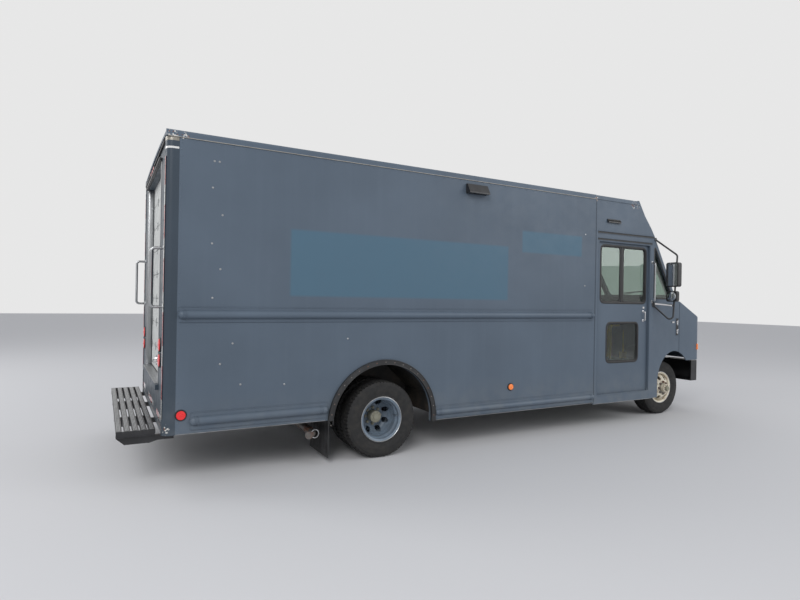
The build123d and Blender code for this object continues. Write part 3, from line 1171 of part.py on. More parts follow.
# Engine and gearbox, as one plain block each joined end to end, on mounts over the frame rails
RADIATOR_SET = 172          # radiator's front behind the hood's face
RADIATOR_THICK = 65
FAN_ROOM = 50
ENGINE_LENGTH = 680
RADIATOR_X = (HOOD_FACE - RADIATOR_SET - RADIATOR_THICK, HOOD_FACE - RADIATOR_SET)
ENGINE_X = (RADIATOR_X[0] - FAN_ROOM - ENGINE_LENGTH, RADIATOR_X[0] - FAN_ROOM)
ENGINE_HALF = 290
ENGINE_Z = (RAIL_LOW + 60, RAIL_LOW + 680)
GEARBOX_LENGTH = 620
GEARBOX_RADIUS = 135
GEARBOX_Z = RAIL_LOW + 100
MOUNT_X = FRONT_AXLE + 60


def engine():
    body = block(ENGINE_X, (-ENGINE_HALF, ENGINE_HALF), ENGINE_Z)
    body += block((MOUNT_X - 50, MOUNT_X + 50), (-RAIL_HALF + 10, RAIL_HALF - 10), (RAIL_HIGH, RAIL_HIGH + 40))
    return body + disc_x(0, GEARBOX_Z, GEARBOX_RADIUS, (ENGINE_X[0] - GEARBOX_LENGTH, ENGINE_X[0]))


# Radiator behind the grille, standing on the rails
RADIATOR_HALF = 410
RADIATOR_TOP = RAIL_HIGH + 515
radiator = block(RADIATOR_X, (-RADIATOR_HALF, RADIATOR_HALF), (RAIL_HIGH, RADIATOR_TOP))
keep("engine", engine(), radiator)


# Engine cover inside the cab, open below and to the front
COVER_SKIN = 12
COVER_REAR = ENGINE_X[0] - 130
COVER_TOP = TUNNEL_TOP + COVER_SKIN


def engine_cover():
    half = TUNNEL_HALF
    outline = [(COVER_REAR, FLOOR_TOP), (FIREWALL_X, FLOOR_TOP), (FIREWALL_X, COVER_TOP),
               (COVER_REAR + 160, COVER_TOP), (COVER_REAR, COVER_TOP - 190)]
    inner = [(COVER_REAR + COVER_SKIN, FLOOR_TOP - 1), (FIREWALL_X + 1, FLOOR_TOP - 1),
             (FIREWALL_X + 1, COVER_TOP - COVER_SKIN), (COVER_REAR + 160 + COVER_SKIN / 2, COVER_TOP - COVER_SKIN),
             (COVER_REAR + COVER_SKIN, COVER_TOP - 190 - COVER_SKIN / 2)]
    return side_plate(outline, (-half, half)) - side_plate(inner, (-half + COVER_SKIN, half - COVER_SKIN))


keep("engine_cover", engine_cover())

# Dashboard under the windshield
DASH_DEPTH = 250
DASH_Z = (SCREEN_FOOT_Z - 300, SCREEN_FOOT_Z - 80)


def dashboard():
    outline = [(FIREWALL_X, DASH_Z[0]), (FIREWALL_X, DASH_Z[1]), (FIREWALL_X - DASH_DEPTH + 60, DASH_Z[1] - 10),
               (FIREWALL_X - DASH_DEPTH, DASH_Z[1] - 60), (FIREWALL_X - DASH_DEPTH + 40, DASH_Z[0])]
    return side_plate(outline, (-BODY_HALF, BODY_HALF)) & cab_inside(WALL, DASH_Z)


keep("dashboard", dashboard())

# Steering column and wheel on the left, the column meeting the firewall
STEER_Y = 480
STEER_X = FRONT_AXLE - 440
STEER_Z = FLOOR_TOP + 620
STEER_TILT = 38             # degrees of the column below the horizontal
STEER_RADIUS = 225
STEER_RIM = 14
COLUMN_RADIUS = 30
COLUMN_START = 42
COLUMN_DIR = Vector(math.cos(math.radians(STEER_TILT)), 0, -math.sin(math.radians(STEER_TILT)))


def along_column(distance, radius, length):
    """A cylinder along the steering column, from a distance below the wheel's centre."""
    start = Vector(STEER_X, STEER_Y, STEER_Z) + COLUMN_DIR * distance
    plane = Plane(origin=start, z_dir=COLUMN_DIR)
    return extrude(plane * Circle(radius), length)


def steering_column():
    length = (FIREWALL_X - STEER_X) / COLUMN_DIR.X
    column = along_column(COLUMN_START, COLUMN_RADIUS, length)
    return column & block((STEER_X - 200, FIREWALL_X), (STEER_Y - 100, STEER_Y + 100), (DASH_Z[0] - 500, STEER_Z + 50))


def steering_wheel():
    plane = Plane(origin=(STEER_X, STEER_Y, STEER_Z), x_dir=(0, 1, 0), z_dir=COLUMN_DIR)
    wheel = plane * Torus(STEER_RADIUS, STEER_RIM)
    wheel += along_column(-12, 55, 20)
    wheel += along_column(0, 22, COLUMN_START - SEAT_GAP)
    for turn in (0, 120, 240):
        wheel += plane * Rot(0, 0, turn + 90) * Pos(STEER_RADIUS / 2, 0, 0) * Box(STEER_RADIUS, 26, 10)
    return wheel


keep("steering_column", steering_column())
keep("steering_wheel", steering_wheel())

# Driver's seat: pedestal, cushion and back, with no passenger's seat beside it
SEAT_X = (STEER_X - 610, STEER_X - 160)
SEAT_HALF = 235
SEAT_BASE_TOP = FLOOR_TOP + 350
CUSHION_THICK = 100
BACK_HIGH = SEAT_BASE_TOP + 670
BACK_THICK = 105
BACK_LEAN = 70


def seat_base():
    x = (SEAT_X[0] + 70, SEAT_X[1] - 70)
    base = block((x[0], x[1]), (STEER_Y - 150, STEER_Y + 150), (FLOOR_TOP, FLOOR_TOP + 30))
    base += disc_z(sum(x) / 2, STEER_Y, 70, (FLOOR_TOP + 30, SEAT_BASE_TOP - 20))
    return base + block((SEAT_X[0] + 20, SEAT_X[1] - 20), (STEER_Y - 190, STEER_Y + 190), (SEAT_BASE_TOP - 20, SEAT_BASE_TOP))


def seat_cushion():
    cushion = block(SEAT_X, (STEER_Y - SEAT_HALF, STEER_Y + SEAT_HALF), (SEAT_BASE_TOP, SEAT_BASE_TOP + CUSHION_THICK))
    cushion = fillet(cushion.edges().filter_by(Axis.Z), 50)
    low = SEAT_BASE_TOP + CUSHION_THICK
    back = side_plate([(SEAT_X[0], low), (SEAT_X[0] + BACK_THICK, low), (SEAT_X[0] + BACK_THICK - BACK_LEAN, BACK_HIGH),
                       (SEAT_X[0] - BACK_LEAN, BACK_HIGH)], (STEER_Y - SEAT_HALF + 10, STEER_Y + SEAT_HALF - 10))
    return cushion, fillet(back.edges().sort_by(Axis.Z)[-4:].filter_by(Axis.X, tolerance=60), 40)


keep("seat_base", seat_base())
keep("driver_seat", *seat_cushion())

# Yellow hand rail and floor lever beside the right-hand door
HAND_RAIL_X = (CAB_FLOOR_FRONT - 287, CAB_FLOOR_FRONT - 94)
HAND_RAIL_Y = STEP_WELL_IN - 80
HAND_RAIL_TOP = FLOOR_TOP + 462
HAND_RAIL_RADIUS = 17
LEVER_X = CAB_FLOOR_FRONT - 50


def hand_rail():
    points = [(HAND_RAIL_X[0], -HAND_RAIL_Y, FLOOR_TOP), (HAND_RAIL_X[0], -HAND_RAIL_Y, HAND_RAIL_TOP),
              (HAND_RAIL_X[1], -HAND_RAIL_Y, HAND_RAIL_TOP), (HAND_RAIL_X[1], -HAND_RAIL_Y + 200, HAND_RAIL_TOP),
              (HAND_RAIL_X[1], -HAND_RAIL_Y + 200, FLOOR_TOP)]
    return tube(points, HAND_RAIL_RADIUS, 50)


def floor_lever():
    y = -HAND_RAIL_Y - 20
    lever = block((LEVER_X - 45, LEVER_X + 45), (y - 25, y + 25), (FLOOR_TOP, FLOOR_TOP + 90))
    lever += disc_z(LEVER_X, y, 15, (FLOOR_TOP + 90, FLOOR_TOP + 210))
    return lever + disc_z(LEVER_X, y, 7, (FLOOR_TOP + 210, FLOOR_TOP + 400))


keep("cab_rails", hand_rail(), floor_lever())

# Fuel tank hung from the left rail
TANK_X = (REAR_AXLE + 818, REAR_AXLE + 1768)
TANK_Y = (RAIL_HALF, RAIL_HALF + 420)
TANK_Z = (RAIL_LOW - 150, RAIL_LOW + 150)


def fuel_tank():
    tank = block(TANK_X, TANK_Y, TANK_Z)
    return fillet(tank.edges().filter_by(Axis.X), 60)


keep("fuel_tank", fuel_tank())

# Exhaust: pipe along the right rail, silencer and side outlet behind the rear wheel
PIPE_RADIUS = 36
PIPE_Y = -250
PIPE_Z = RAIL_LOW + 80
SILENCER_X = (FRONT_AXLE - 3003, FRONT_AXLE - 2103)
SILENCER_RADIUS = 92
TAIL_X = REAR_AXLE - 682
TAIL_Z = RAIL_LOW - 200
TAIL_Y = -BODY_HALF + 110


def exhaust():
    points = [(ENGINE_X[0], PIPE_Y, PIPE_Z), (TAIL_X + 200, PIPE_Y, PIPE_Z), (TAIL_X, PIPE_Y - 60, TAIL_Z),
              (TAIL_X, TAIL_Y, TAIL_Z), (TAIL_X - 60, TAIL_Y - 60, TAIL_Z - 10)]
    pipe = tube(points, PIPE_RADIUS, 30)
    low = PIPE_Z - 60
    silencer = disc_x(PIPE_Y + 20, low, SILENCER_RADIUS, SILENCER_X)
    return pipe + silencer


keep("exhaust", exhaust())

# Propeller shaft from the gearbox to the rear axle's nose
SHAFT_RADIUS = 42


def propeller_shaft():
    start = Vector(REAR_AXLE + 230, 0, AXLE_Z)
    end = Vector(ENGINE_X[0] - GEARBOX_LENGTH, 0, GEARBOX_Z)
    middle = start + (end - start) * 0.5
    plane = Plane(origin=middle, z_dir=end - start)
    shaft = extrude(plane * Circle(SHAFT_RADIUS), (end - start).length / 2 - 10, both=True)
    front = disc_x(0, GEARBOX_Z, 60, (end.X - 30, end.X))
    return shaft + front + disc_x(0, AXLE_Z, 60, (start.X, start.X + 30))


keep("rear_axle", rear_axle(), propeller_shaft())

# Mud flaps hung from the floor behind the dual wheels
FLAP_THICK = 8
FLAP_LOW = 60
FLAP_X = REAR_AXLE - REAR_ARCH_RADIUS - HOUSE_SKIN - 14
flap = block((FLAP_X - FLAP_THICK, FLAP_X), (-INNER_HALF + 12, -HOUSE_IN - 10), (FLAP_LOW, FLOOR_TOP - FLOOR_THICK))
keep("mud_flaps", *both(flap))

# Mirrors: a bent arm from the pillar head, a post, two lower stays and the heads on the post
MIRROR_OUT = 150            # mirror post outboard of the cab side
POST_TOP_X = SCREEN_HEAD_X + 256
POST_FOOT_X = SCREEN_HEAD_X + 181
POST_TOP_Z = SCREEN_HEAD_Z - 250
POST_FOOT_Z = SCREEN_FOOT_Z - 300
ARM_HEAD_X = SCREEN_HEAD_X + 21
ARM_HEAD_Z = SCREEN_HEAD_Z - 45
STAY_X = SCREEN_HEAD_X - 4
STAY_Z = SCREEN_FOOT_Z - 72
ARM_RADIUS = 11
HEAD_SIZE = (70, 175, 320)
HEAD_Z = POST_TOP_Z - 260
CONVEX_SIZE = (55, 150, 140)
CONVEX_Z = SCREEN_FOOT_Z + 50


def post_x(z):
    return POST_FOOT_X + (POST_TOP_X - POST_FOOT_X) * (z - POST_FOOT_Z) / (POST_TOP_Z - POST_FOOT_Z)


def mirror_arm():
    y = -BODY_HALF - MIRROR_OUT
    head_y = -taper_half(ARM_HEAD_X, 0)
    foot_y = -taper_half(STAY_X, 0)
    arm = tube([(ARM_HEAD_X, head_y, ARM_HEAD_Z), (POST_TOP_X, y, POST_TOP_Z), (POST_FOOT_X, y, POST_FOOT_Z),
                (STAY_X, foot_y, STAY_Z)], ARM_RADIUS, 45)
    start = Vector(STAY_X, foot_y, STAY_Z + 20)
    end = Vector(post_x(STAY_Z), y, STAY_Z)
    stay = extrude(Plane(origin=start, z_dir=end - start) * Circle(ARM_RADIUS), (end - start).length)
    feet = disc_y(ARM_HEAD_X, ARM_HEAD_Z, 24, (head_y - 8, head_y + 8))
    feet += disc_y(STAY_X, STAY_Z + 8, 34, (foot_y - 8, foot_y + 8))
    z = (POST_FOOT_Z - 60, ARM_HEAD_Z + 60)
    trimmed = (arm + stay) & block((STAY_X - 100, POST_TOP_X + 100), (y - 50, max(head_y, foot_y)), z)
    return trimmed + feet - cab_inside(0, z)


def mirror_head(size, z):
    x = post_x(z) - size[0] / 2 - ARM_RADIUS - 2
    head = Pos(x, -BODY_HALF - MIRROR_OUT, z) * Box(*size)
    head = fillet(head.edges().filter_by(Axis.X), 28)
    clamp = block((x, post_x(z)), (-BODY_HALF - MIRROR_OUT - 20, -BODY_HALF - MIRROR_OUT + 20), (z - 25, z + 25))
    return head + clamp


keep("mirrors", *both(mirror_arm() + mirror_head(HEAD_SIZE, HEAD_Z) + mirror_head(CONVEX_SIZE, CONVEX_Z)))

# Lamps on the skin; side lamps as (station, height, radius)
RED_SIDE = (WALL_REAR + 41, SKIRT_REAR + 158, 36)
AMBER_SIDE = (CARGO_FRONT - 1307, SKIRT_FRONT + 280, 32)
LAMP_PROUD = 14
TAIL_LAMP_Y = (DOORWAY_HALF + BODY_HALF - POST_WIDTH) / 2
TAIL_LAMPS = (FLOOR_TOP + 220, FLOOR_TOP + 350)
TAIL_LAMP_RADIUS = 52
HEADER_LAMPS = (-150, 0, 150)
HEADER_LAMP_Z = ROOF_EDGE - 58
HEADER_LAMP_SIZE = (22, 90, 30)
rear_face = BODY_REAR + REAR_FRAME_SET
red = both(disc_y(RED_SIDE[0], RED_SIDE[1], RED_SIDE[2], (-BODY_HALF - LAMP_PROUD, -BODY_HALF)))
for lamp_z in TAIL_LAMPS:
    red += both(disc_x(-TAIL_LAMP_Y, lamp_z, TAIL_LAMP_RADIUS, (rear_face - LAMP_PROUD, rear_face)))
for lamp_y in HEADER_LAMPS:
    lamp = Pos(rear_face - HEADER_LAMP_SIZE[0] / 2, lamp_y, HEADER_LAMP_Z) * Box(*HEADER_LAMP_SIZE)
    red.append(lamp)
keep("red_lamps", *red)
amber = disc_y(AMBER_SIDE[0], AMBER_SIDE[1], AMBER_SIDE[2], (-BODY_HALF - LAMP_PROUD, -BODY_HALF))
keep("amber_lamps", *both(amber))

# Hooded covers on the sides: a large one high on the cargo side, a slim one over the door
SIDE_HOODS = [
    (CARGO_FRONT - 1951, CARGO_FRONT - 1688, ROOF_EDGE - 144, ROOF_EDGE - 45, 75),
    (CARGO_FRONT + 195, CARGO_FRONT + 424, ROOF_EDGE - 270, ROOF_EDGE - 226, 26),
]


def side_hood(start, end, low, high, proud):
    face = -BODY_HALF
    outline = [(face, low), (face - proud, low), (face - proud, low + 12), (face - proud * 0.35, high), (face, high)]
    return cross_plate(outline, (start, end))


hoods = [side_hood(*row) for row in SIDE_HOODS]
keep("side_hoods", *hoods, *[mirror(cover, about=Plane.XZ) for cover in hoods])

# Grab bar ahead of the sliding door
BAR_X = DOOR_FRONT + 46
BAR_Z = (SCREEN_FOOT_Z - 30, SCREEN_FOOT_Z + 495)
BAR_REACH = 45


def door_bar():
    face = -taper_half(BAR_X, 0)
    points = [(BAR_X, face + 5, BAR_Z[0]), (BAR_X, face - BAR_REACH, BAR_Z[0] + 20),
              (BAR_X, face - BAR_REACH, BAR_Z[1] - 20), (BAR_X, face + 5, BAR_Z[1])]
    bar = tube(points, 10, 12)
    return bar - cab_inside(0, (BAR_Z[0] - 30, BAR_Z[1] + 30))


keep("handles", *both(grab_handle()), *both(door_bar()))


for name, solid in nodes.items():
    export_step(solid, "parts/" + name + ".step")
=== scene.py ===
import bpy
import bmesh
import math
from mathutils import Matrix, Vector


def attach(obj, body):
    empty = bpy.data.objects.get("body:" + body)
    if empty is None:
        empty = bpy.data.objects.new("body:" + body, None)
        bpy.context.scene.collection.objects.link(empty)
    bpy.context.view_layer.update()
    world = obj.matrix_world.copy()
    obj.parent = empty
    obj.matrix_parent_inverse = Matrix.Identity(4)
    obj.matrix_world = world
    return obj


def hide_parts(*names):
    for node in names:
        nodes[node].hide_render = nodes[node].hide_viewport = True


# Looks of the step van: metres, +X forward, +Y left, +Z up
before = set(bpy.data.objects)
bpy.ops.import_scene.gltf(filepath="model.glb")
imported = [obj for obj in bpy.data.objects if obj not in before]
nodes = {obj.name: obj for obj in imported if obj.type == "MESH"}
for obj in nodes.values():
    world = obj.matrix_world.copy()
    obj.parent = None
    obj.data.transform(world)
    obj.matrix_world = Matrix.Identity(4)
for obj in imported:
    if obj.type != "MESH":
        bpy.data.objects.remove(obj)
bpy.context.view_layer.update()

# Places taken over from the model
HALF = 1.18
BODY_REAR = -3.49
WALL_REAR = -3.39
CARGO_FRONT = 1.367
REAR_AXLE = -1.508
FRONT_AXLE = 3.013
AXLE_Z = 0.372
TAPER_START = 2.41
HOOD_SEAM = 3.14


# Small shader vocabulary
def new_material(name):
    material = bpy.data.materials.new(name)
    material.use_nodes = True
    tree = material.node_tree
    return material, tree, tree.nodes["Principled BSDF"]


def node(tree, kind, **values):
    made = tree.nodes.new(kind)
    for key, value in values.items():
        if key in made.inputs:
            made.inputs[key].default_value = value
        else:
            setattr(made, key, value)
    return made


def position(tree):
    """Object coordinates, which are the vehicle's own metres."""
    return tree.nodes.new("ShaderNodeTexCoord").outputs["Object"]


def noise(tree, scale, detail=3.0, stretch=(1, 1, 1)):
    mapping = tree.nodes.new("ShaderNodeMapping")
    mapping.inputs["Scale"].default_value = stretch
    tree.links.new(position(tree), mapping.inputs["Vector"])
    made = node(tree, "ShaderNodeTexNoise", Scale=scale, Detail=detail)
    tree.links.new(mapping.outputs[0], made.inputs["Vector"])
    return made.outputs["Fac"]


def ramp(tree, source, low, high, start=0.0, end=1.0):
    """Maps source from low..high to start..end, clamped."""
    made = tree.nodes.new("ShaderNodeMapRange")
    for key, value in (("From Min", low), ("From Max", high), ("To Min", start), ("To Max", end)):
        made.inputs[key].default_value = value
    tree.links.new(source, made.inputs["Value"])
    return made.outputs["Result"]


def mix(tree, factor, one, two):
    """Mixes two colours, each a socket or a plain colour."""
    made = tree.nodes.new("ShaderNodeMix")
    made.data_type = "RGBA"
    for socket, value in ((made.inputs[0], factor), (made.inputs[6], one), (made.inputs[7], two)):
        if isinstance(value, bpy.types.NodeSocket):
            tree.links.new(value, socket)
        else:
            socket.default_value = value if isinstance(value, float) else (*value, 1.0)
    return made.outputs[2]


def math_node(tree, operation, one, two=0.5):
    made = tree.nodes.new("ShaderNodeMath")
    made.operation = operation
    for socket, value in zip(made.inputs, (one, two)):
        if isinstance(value, bpy.types.NodeSocket):
            tree.links.new(value, socket)
        else:
            socket.default_value = value
    return made.outputs[0]


def axis_value(tree, axis):
    split = tree.nodes.new("ShaderNodeSeparateXYZ")
    tree.links.new(position(tree), split.inputs[0])
    return split.outputs["XYZ".index(axis)]


def window_mask(tree, axis, low, high, soft):
    """1 inside low..high along an axis, fading out over soft."""
    value = axis_value(tree, axis)
    rise = ramp(tree, value, low - soft, low + soft)
    fall = ramp(tree, value, high - soft, high + soft, 1.0, 0.0)
    return math_node(tree, "MULTIPLY", rise, fall)


def bump(tree, shader, source, strength, distance=0.001):
    made = node(tree, "ShaderNodeBump", Strength=strength, Distance=distance)
    tree.links.new(source, made.inputs["Height"])
    tree.links.new(made.outputs[0], shader.inputs["Normal"])
    return made


def linear(red, green, blue):
    """A colour read as 0-255 screen values, as the linear values a shader takes."""
    return tuple(((v / 255 + 0.055) / 1.055) ** 2.4 if v > 10 else v / 255 / 12.92
                 for v in (red, green, blue))


# Materials
SLATE = linear(88, 100, 113)
# Darker copy of the slate paint: painted shade for the rear frame and its posts
SLATE_SHADED = linear(62, 72, 82)
DUST = linear(120, 124, 126)
PRIMER = linear(214, 212, 206)
RUST = linear(120, 68, 38)
ALLOY = linear(176, 178, 180)
PATCH_BLUE = linear(78, 106, 124)

# Faded plain areas on the sides, as (x low, x high, z low, z high)
PATCHES = [(-2.46, 0.0, 1.56, 2.15), (0.20, 1.13, 2.10, 2.34)]
# Chipped paint down to pale primer, as (centre, radius)
CHIPS = [
    ((-3.44, 2.84), 0.07), ((-3.36, 2.83), 0.05), ((1.367, 2.825), 0.05), ((2.05, 2.81), 0.07),
    ((2.13, 2.79), 0.05), ((-3.46, 0.47), 0.05),
]


def paint(name, colour, patches=(), chips=(), dust_top=0.75, gloss=0.42, streak=0.5):
    """Vehicle paint: cloudy fading, rain streaks, road dust low down, chips and fine orange peel."""
    material, tree, shader = new_material(name)
    cloud = ramp(tree, noise(tree, 1.1, 5.0), 0.3, 0.72)
    shade = mix(tree, cloud, tuple(c * 0.90 for c in colour), tuple(c * 1.08 for c in colour))
    streaks = ramp(tree, noise(tree, 5.0, 4.0, (3.0, 3.0, 0.12)), 0.5, 0.8, 0.0, streak * 0.22)
    shade = mix(tree, streaks, shade, tuple(min(1.0, c * 1.35 + 0.01) for c in colour))
    for x_low, x_high, z_low, z_high in patches:
        area = math_node(tree, "MULTIPLY", window_mask(tree, "X", x_low, x_high, 0.012),
                         window_mask(tree, "Z", z_low, z_high, 0.012))
        outside = ramp(tree, math_node(tree, "ABSOLUTE", axis_value(tree, "Y")), 1.165, 1.175)
        area = math_node(tree, "MULTIPLY", area, outside)
        fade = math_node(tree, "MULTIPLY", area, ramp(tree, noise(tree, 3.0), 0.2, 0.8, 0.86, 1.0))
        shade = mix(tree, fade, shade, PATCH_BLUE)
    dust = ramp(tree, axis_value(tree, "Z"), 0.3, dust_top, 1.0, 0.0)
    dust = math_node(tree, "MULTIPLY", dust, ramp(tree, noise(tree, 7.0, 6.0), 0.35, 0.75, 0.05, 0.55))
    shade = mix(tree, dust, shade, DUST)
    wear = ramp(tree, noise(tree, 60.0, 5.0), 0.56, 0.60)
    for (x, z), radius in chips:
        dx = math_node(tree, "ABSOLUTE", math_node(tree, "SUBTRACT", axis_value(tree, "X"), x))
        dz = math_node(tree, "ABSOLUTE", math_node(tree, "SUBTRACT", axis_value(tree, "Z"), z))
        near = ramp(tree, math_node(tree, "ADD", dx, dz), radius * 0.5, radius, 1.0, 0.0)
        spot = math_node(tree, "MULTIPLY", near, wear)
        shade = mix(tree, spot, shade, PRIMER)
        ring = math_node(tree, "MULTIPLY", near, ramp(tree, noise(tree, 38.0, 4.0), 0.60, 0.63))
        shade = mix(tree, ring, shade, RUST)
    tree.links.new(shade, shader.inputs["Base Color"])
    rough = ramp(tree, noise(tree, 9.0, 4.0), 0.3, 0.7, gloss - 0.05, gloss + 0.09)
    tree.links.new(math_node(tree, "ADD", rough, math_node(tree, "MULTIPLY", dust, 0.35)),
                   shader.inputs["Roughness"])
    shader.inputs["Specular IOR Level"].default_value = 0.22
    bump(tree, shader, noise(tree, 420.0, 2.0), 0.05)
    return material


def metal(name, colour, rough, brush=(1, 1, 1), grime=0.25):
    """Bare metal with brushing along one axis and grime in clouds."""
    material, tree, shader = new_material(name)
    shader.inputs["Metallic"].default_value = 1.0
    lines = noise(tree, 90.0, 3.0, brush)
    tone = mix(tree, ramp(tree, lines, 0.3, 0.7), tuple(c * 0.82 for c in colour), colour)
    dirt = ramp(tree, noise(tree, 12.0, 5.0), 0.5, 0.8, 0.0, grime)
    tree.links.new(mix(tree, dirt, tone, (0.09, 0.08, 0.07)), shader.inputs["Base Color"])
    tree.links.new(ramp(tree, lines, 0.3, 0.7, rough - 0.06, rough + 0.1), shader.inputs["Roughness"])
    bump(tree, shader, lines, 0.06)
    return material


def matt(name, colour, rough, grain_scale, grain, dust_colour=DUST, dust_amount=0.15, dust_scale=8.0):
    """Rubber, plastic or flat paint: grain in the bump and dust in clouds."""
    material, tree, shader = new_material(name)
    dust = ramp(tree, noise(tree, dust_scale, 5.0), 0.45, 0.8, 0.0, dust_amount)
    tree.links.new(mix(tree, dust, colour, dust_colour), shader.inputs["Base Color"])
    tree.links.new(ramp(tree, noise(tree, 30.0), 0.3, 0.7, rough - 0.06, rough + 0.06),
                   shader.inputs["Roughness"])
    bump(tree, shader, noise(tree, grain_scale, 3.0), grain)
    return material


def rusty(name, colour, rust_amount, rough=0.6):
    """Worn steel or iron: base tone with rust spreading in patches."""
    material, tree, shader = new_material(name)
    shader.inputs["Metallic"].default_value = 0.6
    patches = ramp(tree, noise(tree, 14.0, 7.0), 0.62 - rust_amount * 0.3, 0.72)
    tone = mix(tree, ramp(tree, noise(tree, 40.0), 0.3, 0.7), tuple(c * 0.8 for c in colour), colour)
    tree.links.new(mix(tree, patches, tone, RUST), shader.inputs["Base Color"])
    tree.links.new(ramp(tree, patches, 0, 1, rough - 0.15, rough + 0.25), shader.inputs["Roughness"])
    bump(tree, shader, noise(tree, 120.0, 5.0), 0.2)
    return material


def glass(name, colour, rough=0.0, transmission=0.97):
    """Tinted sheet glass with a little dirt."""
    material, tree, shader = new_material(name)
    shader.inputs["Transmission Weight"].default_value = transmission
    shader.inputs["IOR"].default_value = 1.45
    dirt = ramp(tree, noise(tree, 5.0, 6.0), 0.45, 0.85)
    tree.links.new(mix(tree, ramp(tree, dirt, 0, 1, 0.0, 0.04), colour, DUST), shader.inputs["Base Color"])
    tree.links.new(ramp(tree, dirt, 0, 1, rough, rough + 0.012), shader.inputs["Roughness"])
    return material


def lens(name, colour, ribs=260.0, glow=0.0):
    """Moulded lamp lens with fine ribs."""
    material, tree, shader = new_material(name)
    shader.inputs["Coat Weight"].default_value = 0.6
    ribbed = node(tree, "ShaderNodeTexWave", Scale=ribs)
    ribbed.bands_direction = "Z"
    tree.links.new(position(tree), ribbed.inputs["Vector"])
    tone = mix(tree, ribbed.outputs["Fac"], tuple(c * 0.8 for c in colour), colour)
    tree.links.new(tone, shader.inputs["Base Color"])
    tree.links.new(ramp(tree, noise(tree, 30.0), 0.3, 0.7, 0.16, 0.3), shader.inputs["Roughness"])
    if glow:
        shader.inputs["Emission Color"].default_value = (*colour, 1.0)
        shader.inputs["Emission Strength"].default_value = glow
    bump(tree, shader, ribbed.outputs["Fac"], 0.2)
    return material


def leather(name, colour, scale=220.0):
    """Vinyl seat skin: small pebbled cells, creases and worn sheen."""
    material, tree, shader = new_material(name)
    cells = node(tree, "ShaderNodeTexVoronoi", Scale=scale)
    tree.links.new(position(tree), cells.inputs["Vector"])
    wear = ramp(tree, noise(tree, 6.0, 5.0), 0.45, 0.75)
    tree.links.new(mix(tree, ramp(tree, wear, 0, 1, 0.0, 0.3), colour,
                       tuple(c * 2.2 + 0.02 for c in colour)),
                   shader.inputs["Base Color"])
    tree.links.new(ramp(tree, wear, 0, 1, 0.6, 0.42), shader.inputs["Roughness"])
    bump(tree, shader, cells.outputs["Distance"], 0.3)
    return material


def tread_plate(name, colour):
    """Painted floor plate with raised checks and scuffed tops."""
    material, tree, shader = new_material(name)
    checks = node(tree, "ShaderNodeTexBrick", Scale=12.0)
    tree.links.new(position(tree), checks.inputs["Vector"])
    scuff = ramp(tree, noise(tree, 10.0, 6.0), 0.45, 0.75, 0.0, 0.6)
    tree.links.new(mix(tree, scuff, colour, tuple(min(1.0, c * 1.6) for c in colour)),
                   shader.inputs["Base Color"])
    tree.links.new(ramp(tree, noise(tree, 18.0), 0.3, 0.7, 0.45, 0.7), shader.inputs["Roughness"])
    bump(tree, shader, checks.outputs["Fac"], 0.25)
    return material


SIDE_PAINT = paint("side_paint", SLATE, patches=PATCHES, chips=CHIPS)
BODY_PAINT = paint("body_paint", SLATE, chips=CHIPS)
# Slightly lighter, glossier copy of the body paint for rub rails, rivets and screws: painted highlight
TRIM_PAINT_LIT = paint("trim_paint_lit", tuple(c * 1.05 for c in SLATE), chips=CHIPS[:3], gloss=0.34)
# The rear frame takes the darker slate copy, which is painted shade and not a second paint
POST_PAINT_SHADED = paint("post_paint_shaded", SLATE_SHADED, chips=[CHIPS[0], CHIPS[1], CHIPS[5]], gloss=0.36)
LINER = matt("liner_white", linear(190, 192, 190), 0.6, 60.0, 0.08, dust_amount=0.35, dust_scale=4.0)
BRIGHT = metal("bright_alloy", ALLOY, 0.32, (0.05, 1, 1))
BRIGHT_UP = metal("bright_alloy_upright", ALLOY, 0.34, (1, 1, 0.05))
CHROME = metal("chrome", (0.75, 0.75, 0.76), 0.12, grime=0.1)
BLACK_PAINT = matt("black_paint", (0.016, 0.016, 0.018), 0.36, 300.0, 0.05, dust_amount=0.10)
CHASSIS_BLACK = matt("chassis_black", (0.014, 0.013, 0.012), 0.62, 140.0, 0.2, linear(92, 80, 66), 0.5, 6.0)
RUBBER = matt("black_rubber", (0.018, 0.018, 0.019), 0.42, 500.0, 0.08, dust_amount=0.12)
SEAL = matt("seal_rubber", (0.010, 0.010, 0.011), 0.5, 600.0, 0.06, dust_amount=0.05)
TYRE = matt("tyre_rubber", (0.014, 0.014, 0.0145), 0.78, 350.0, 0.22, linear(96, 90, 80), 0.16, 16.0)
CREAM = matt("wheel_cream", linear(226, 219, 200), 0.4, 200.0, 0.08, linear(120, 84, 52), 0.75, 22.0)
WHEEL_BLUE = matt("wheel_slate", linear(110, 124, 138), 0.4, 200.0, 0.08, linear(70, 66, 60), 0.5, 12.0)
HUB_GREY = matt("hub_grey", linear(140, 138, 122), 0.5, 160.0, 0.1, linear(96, 84, 60), 0.5, 20.0)
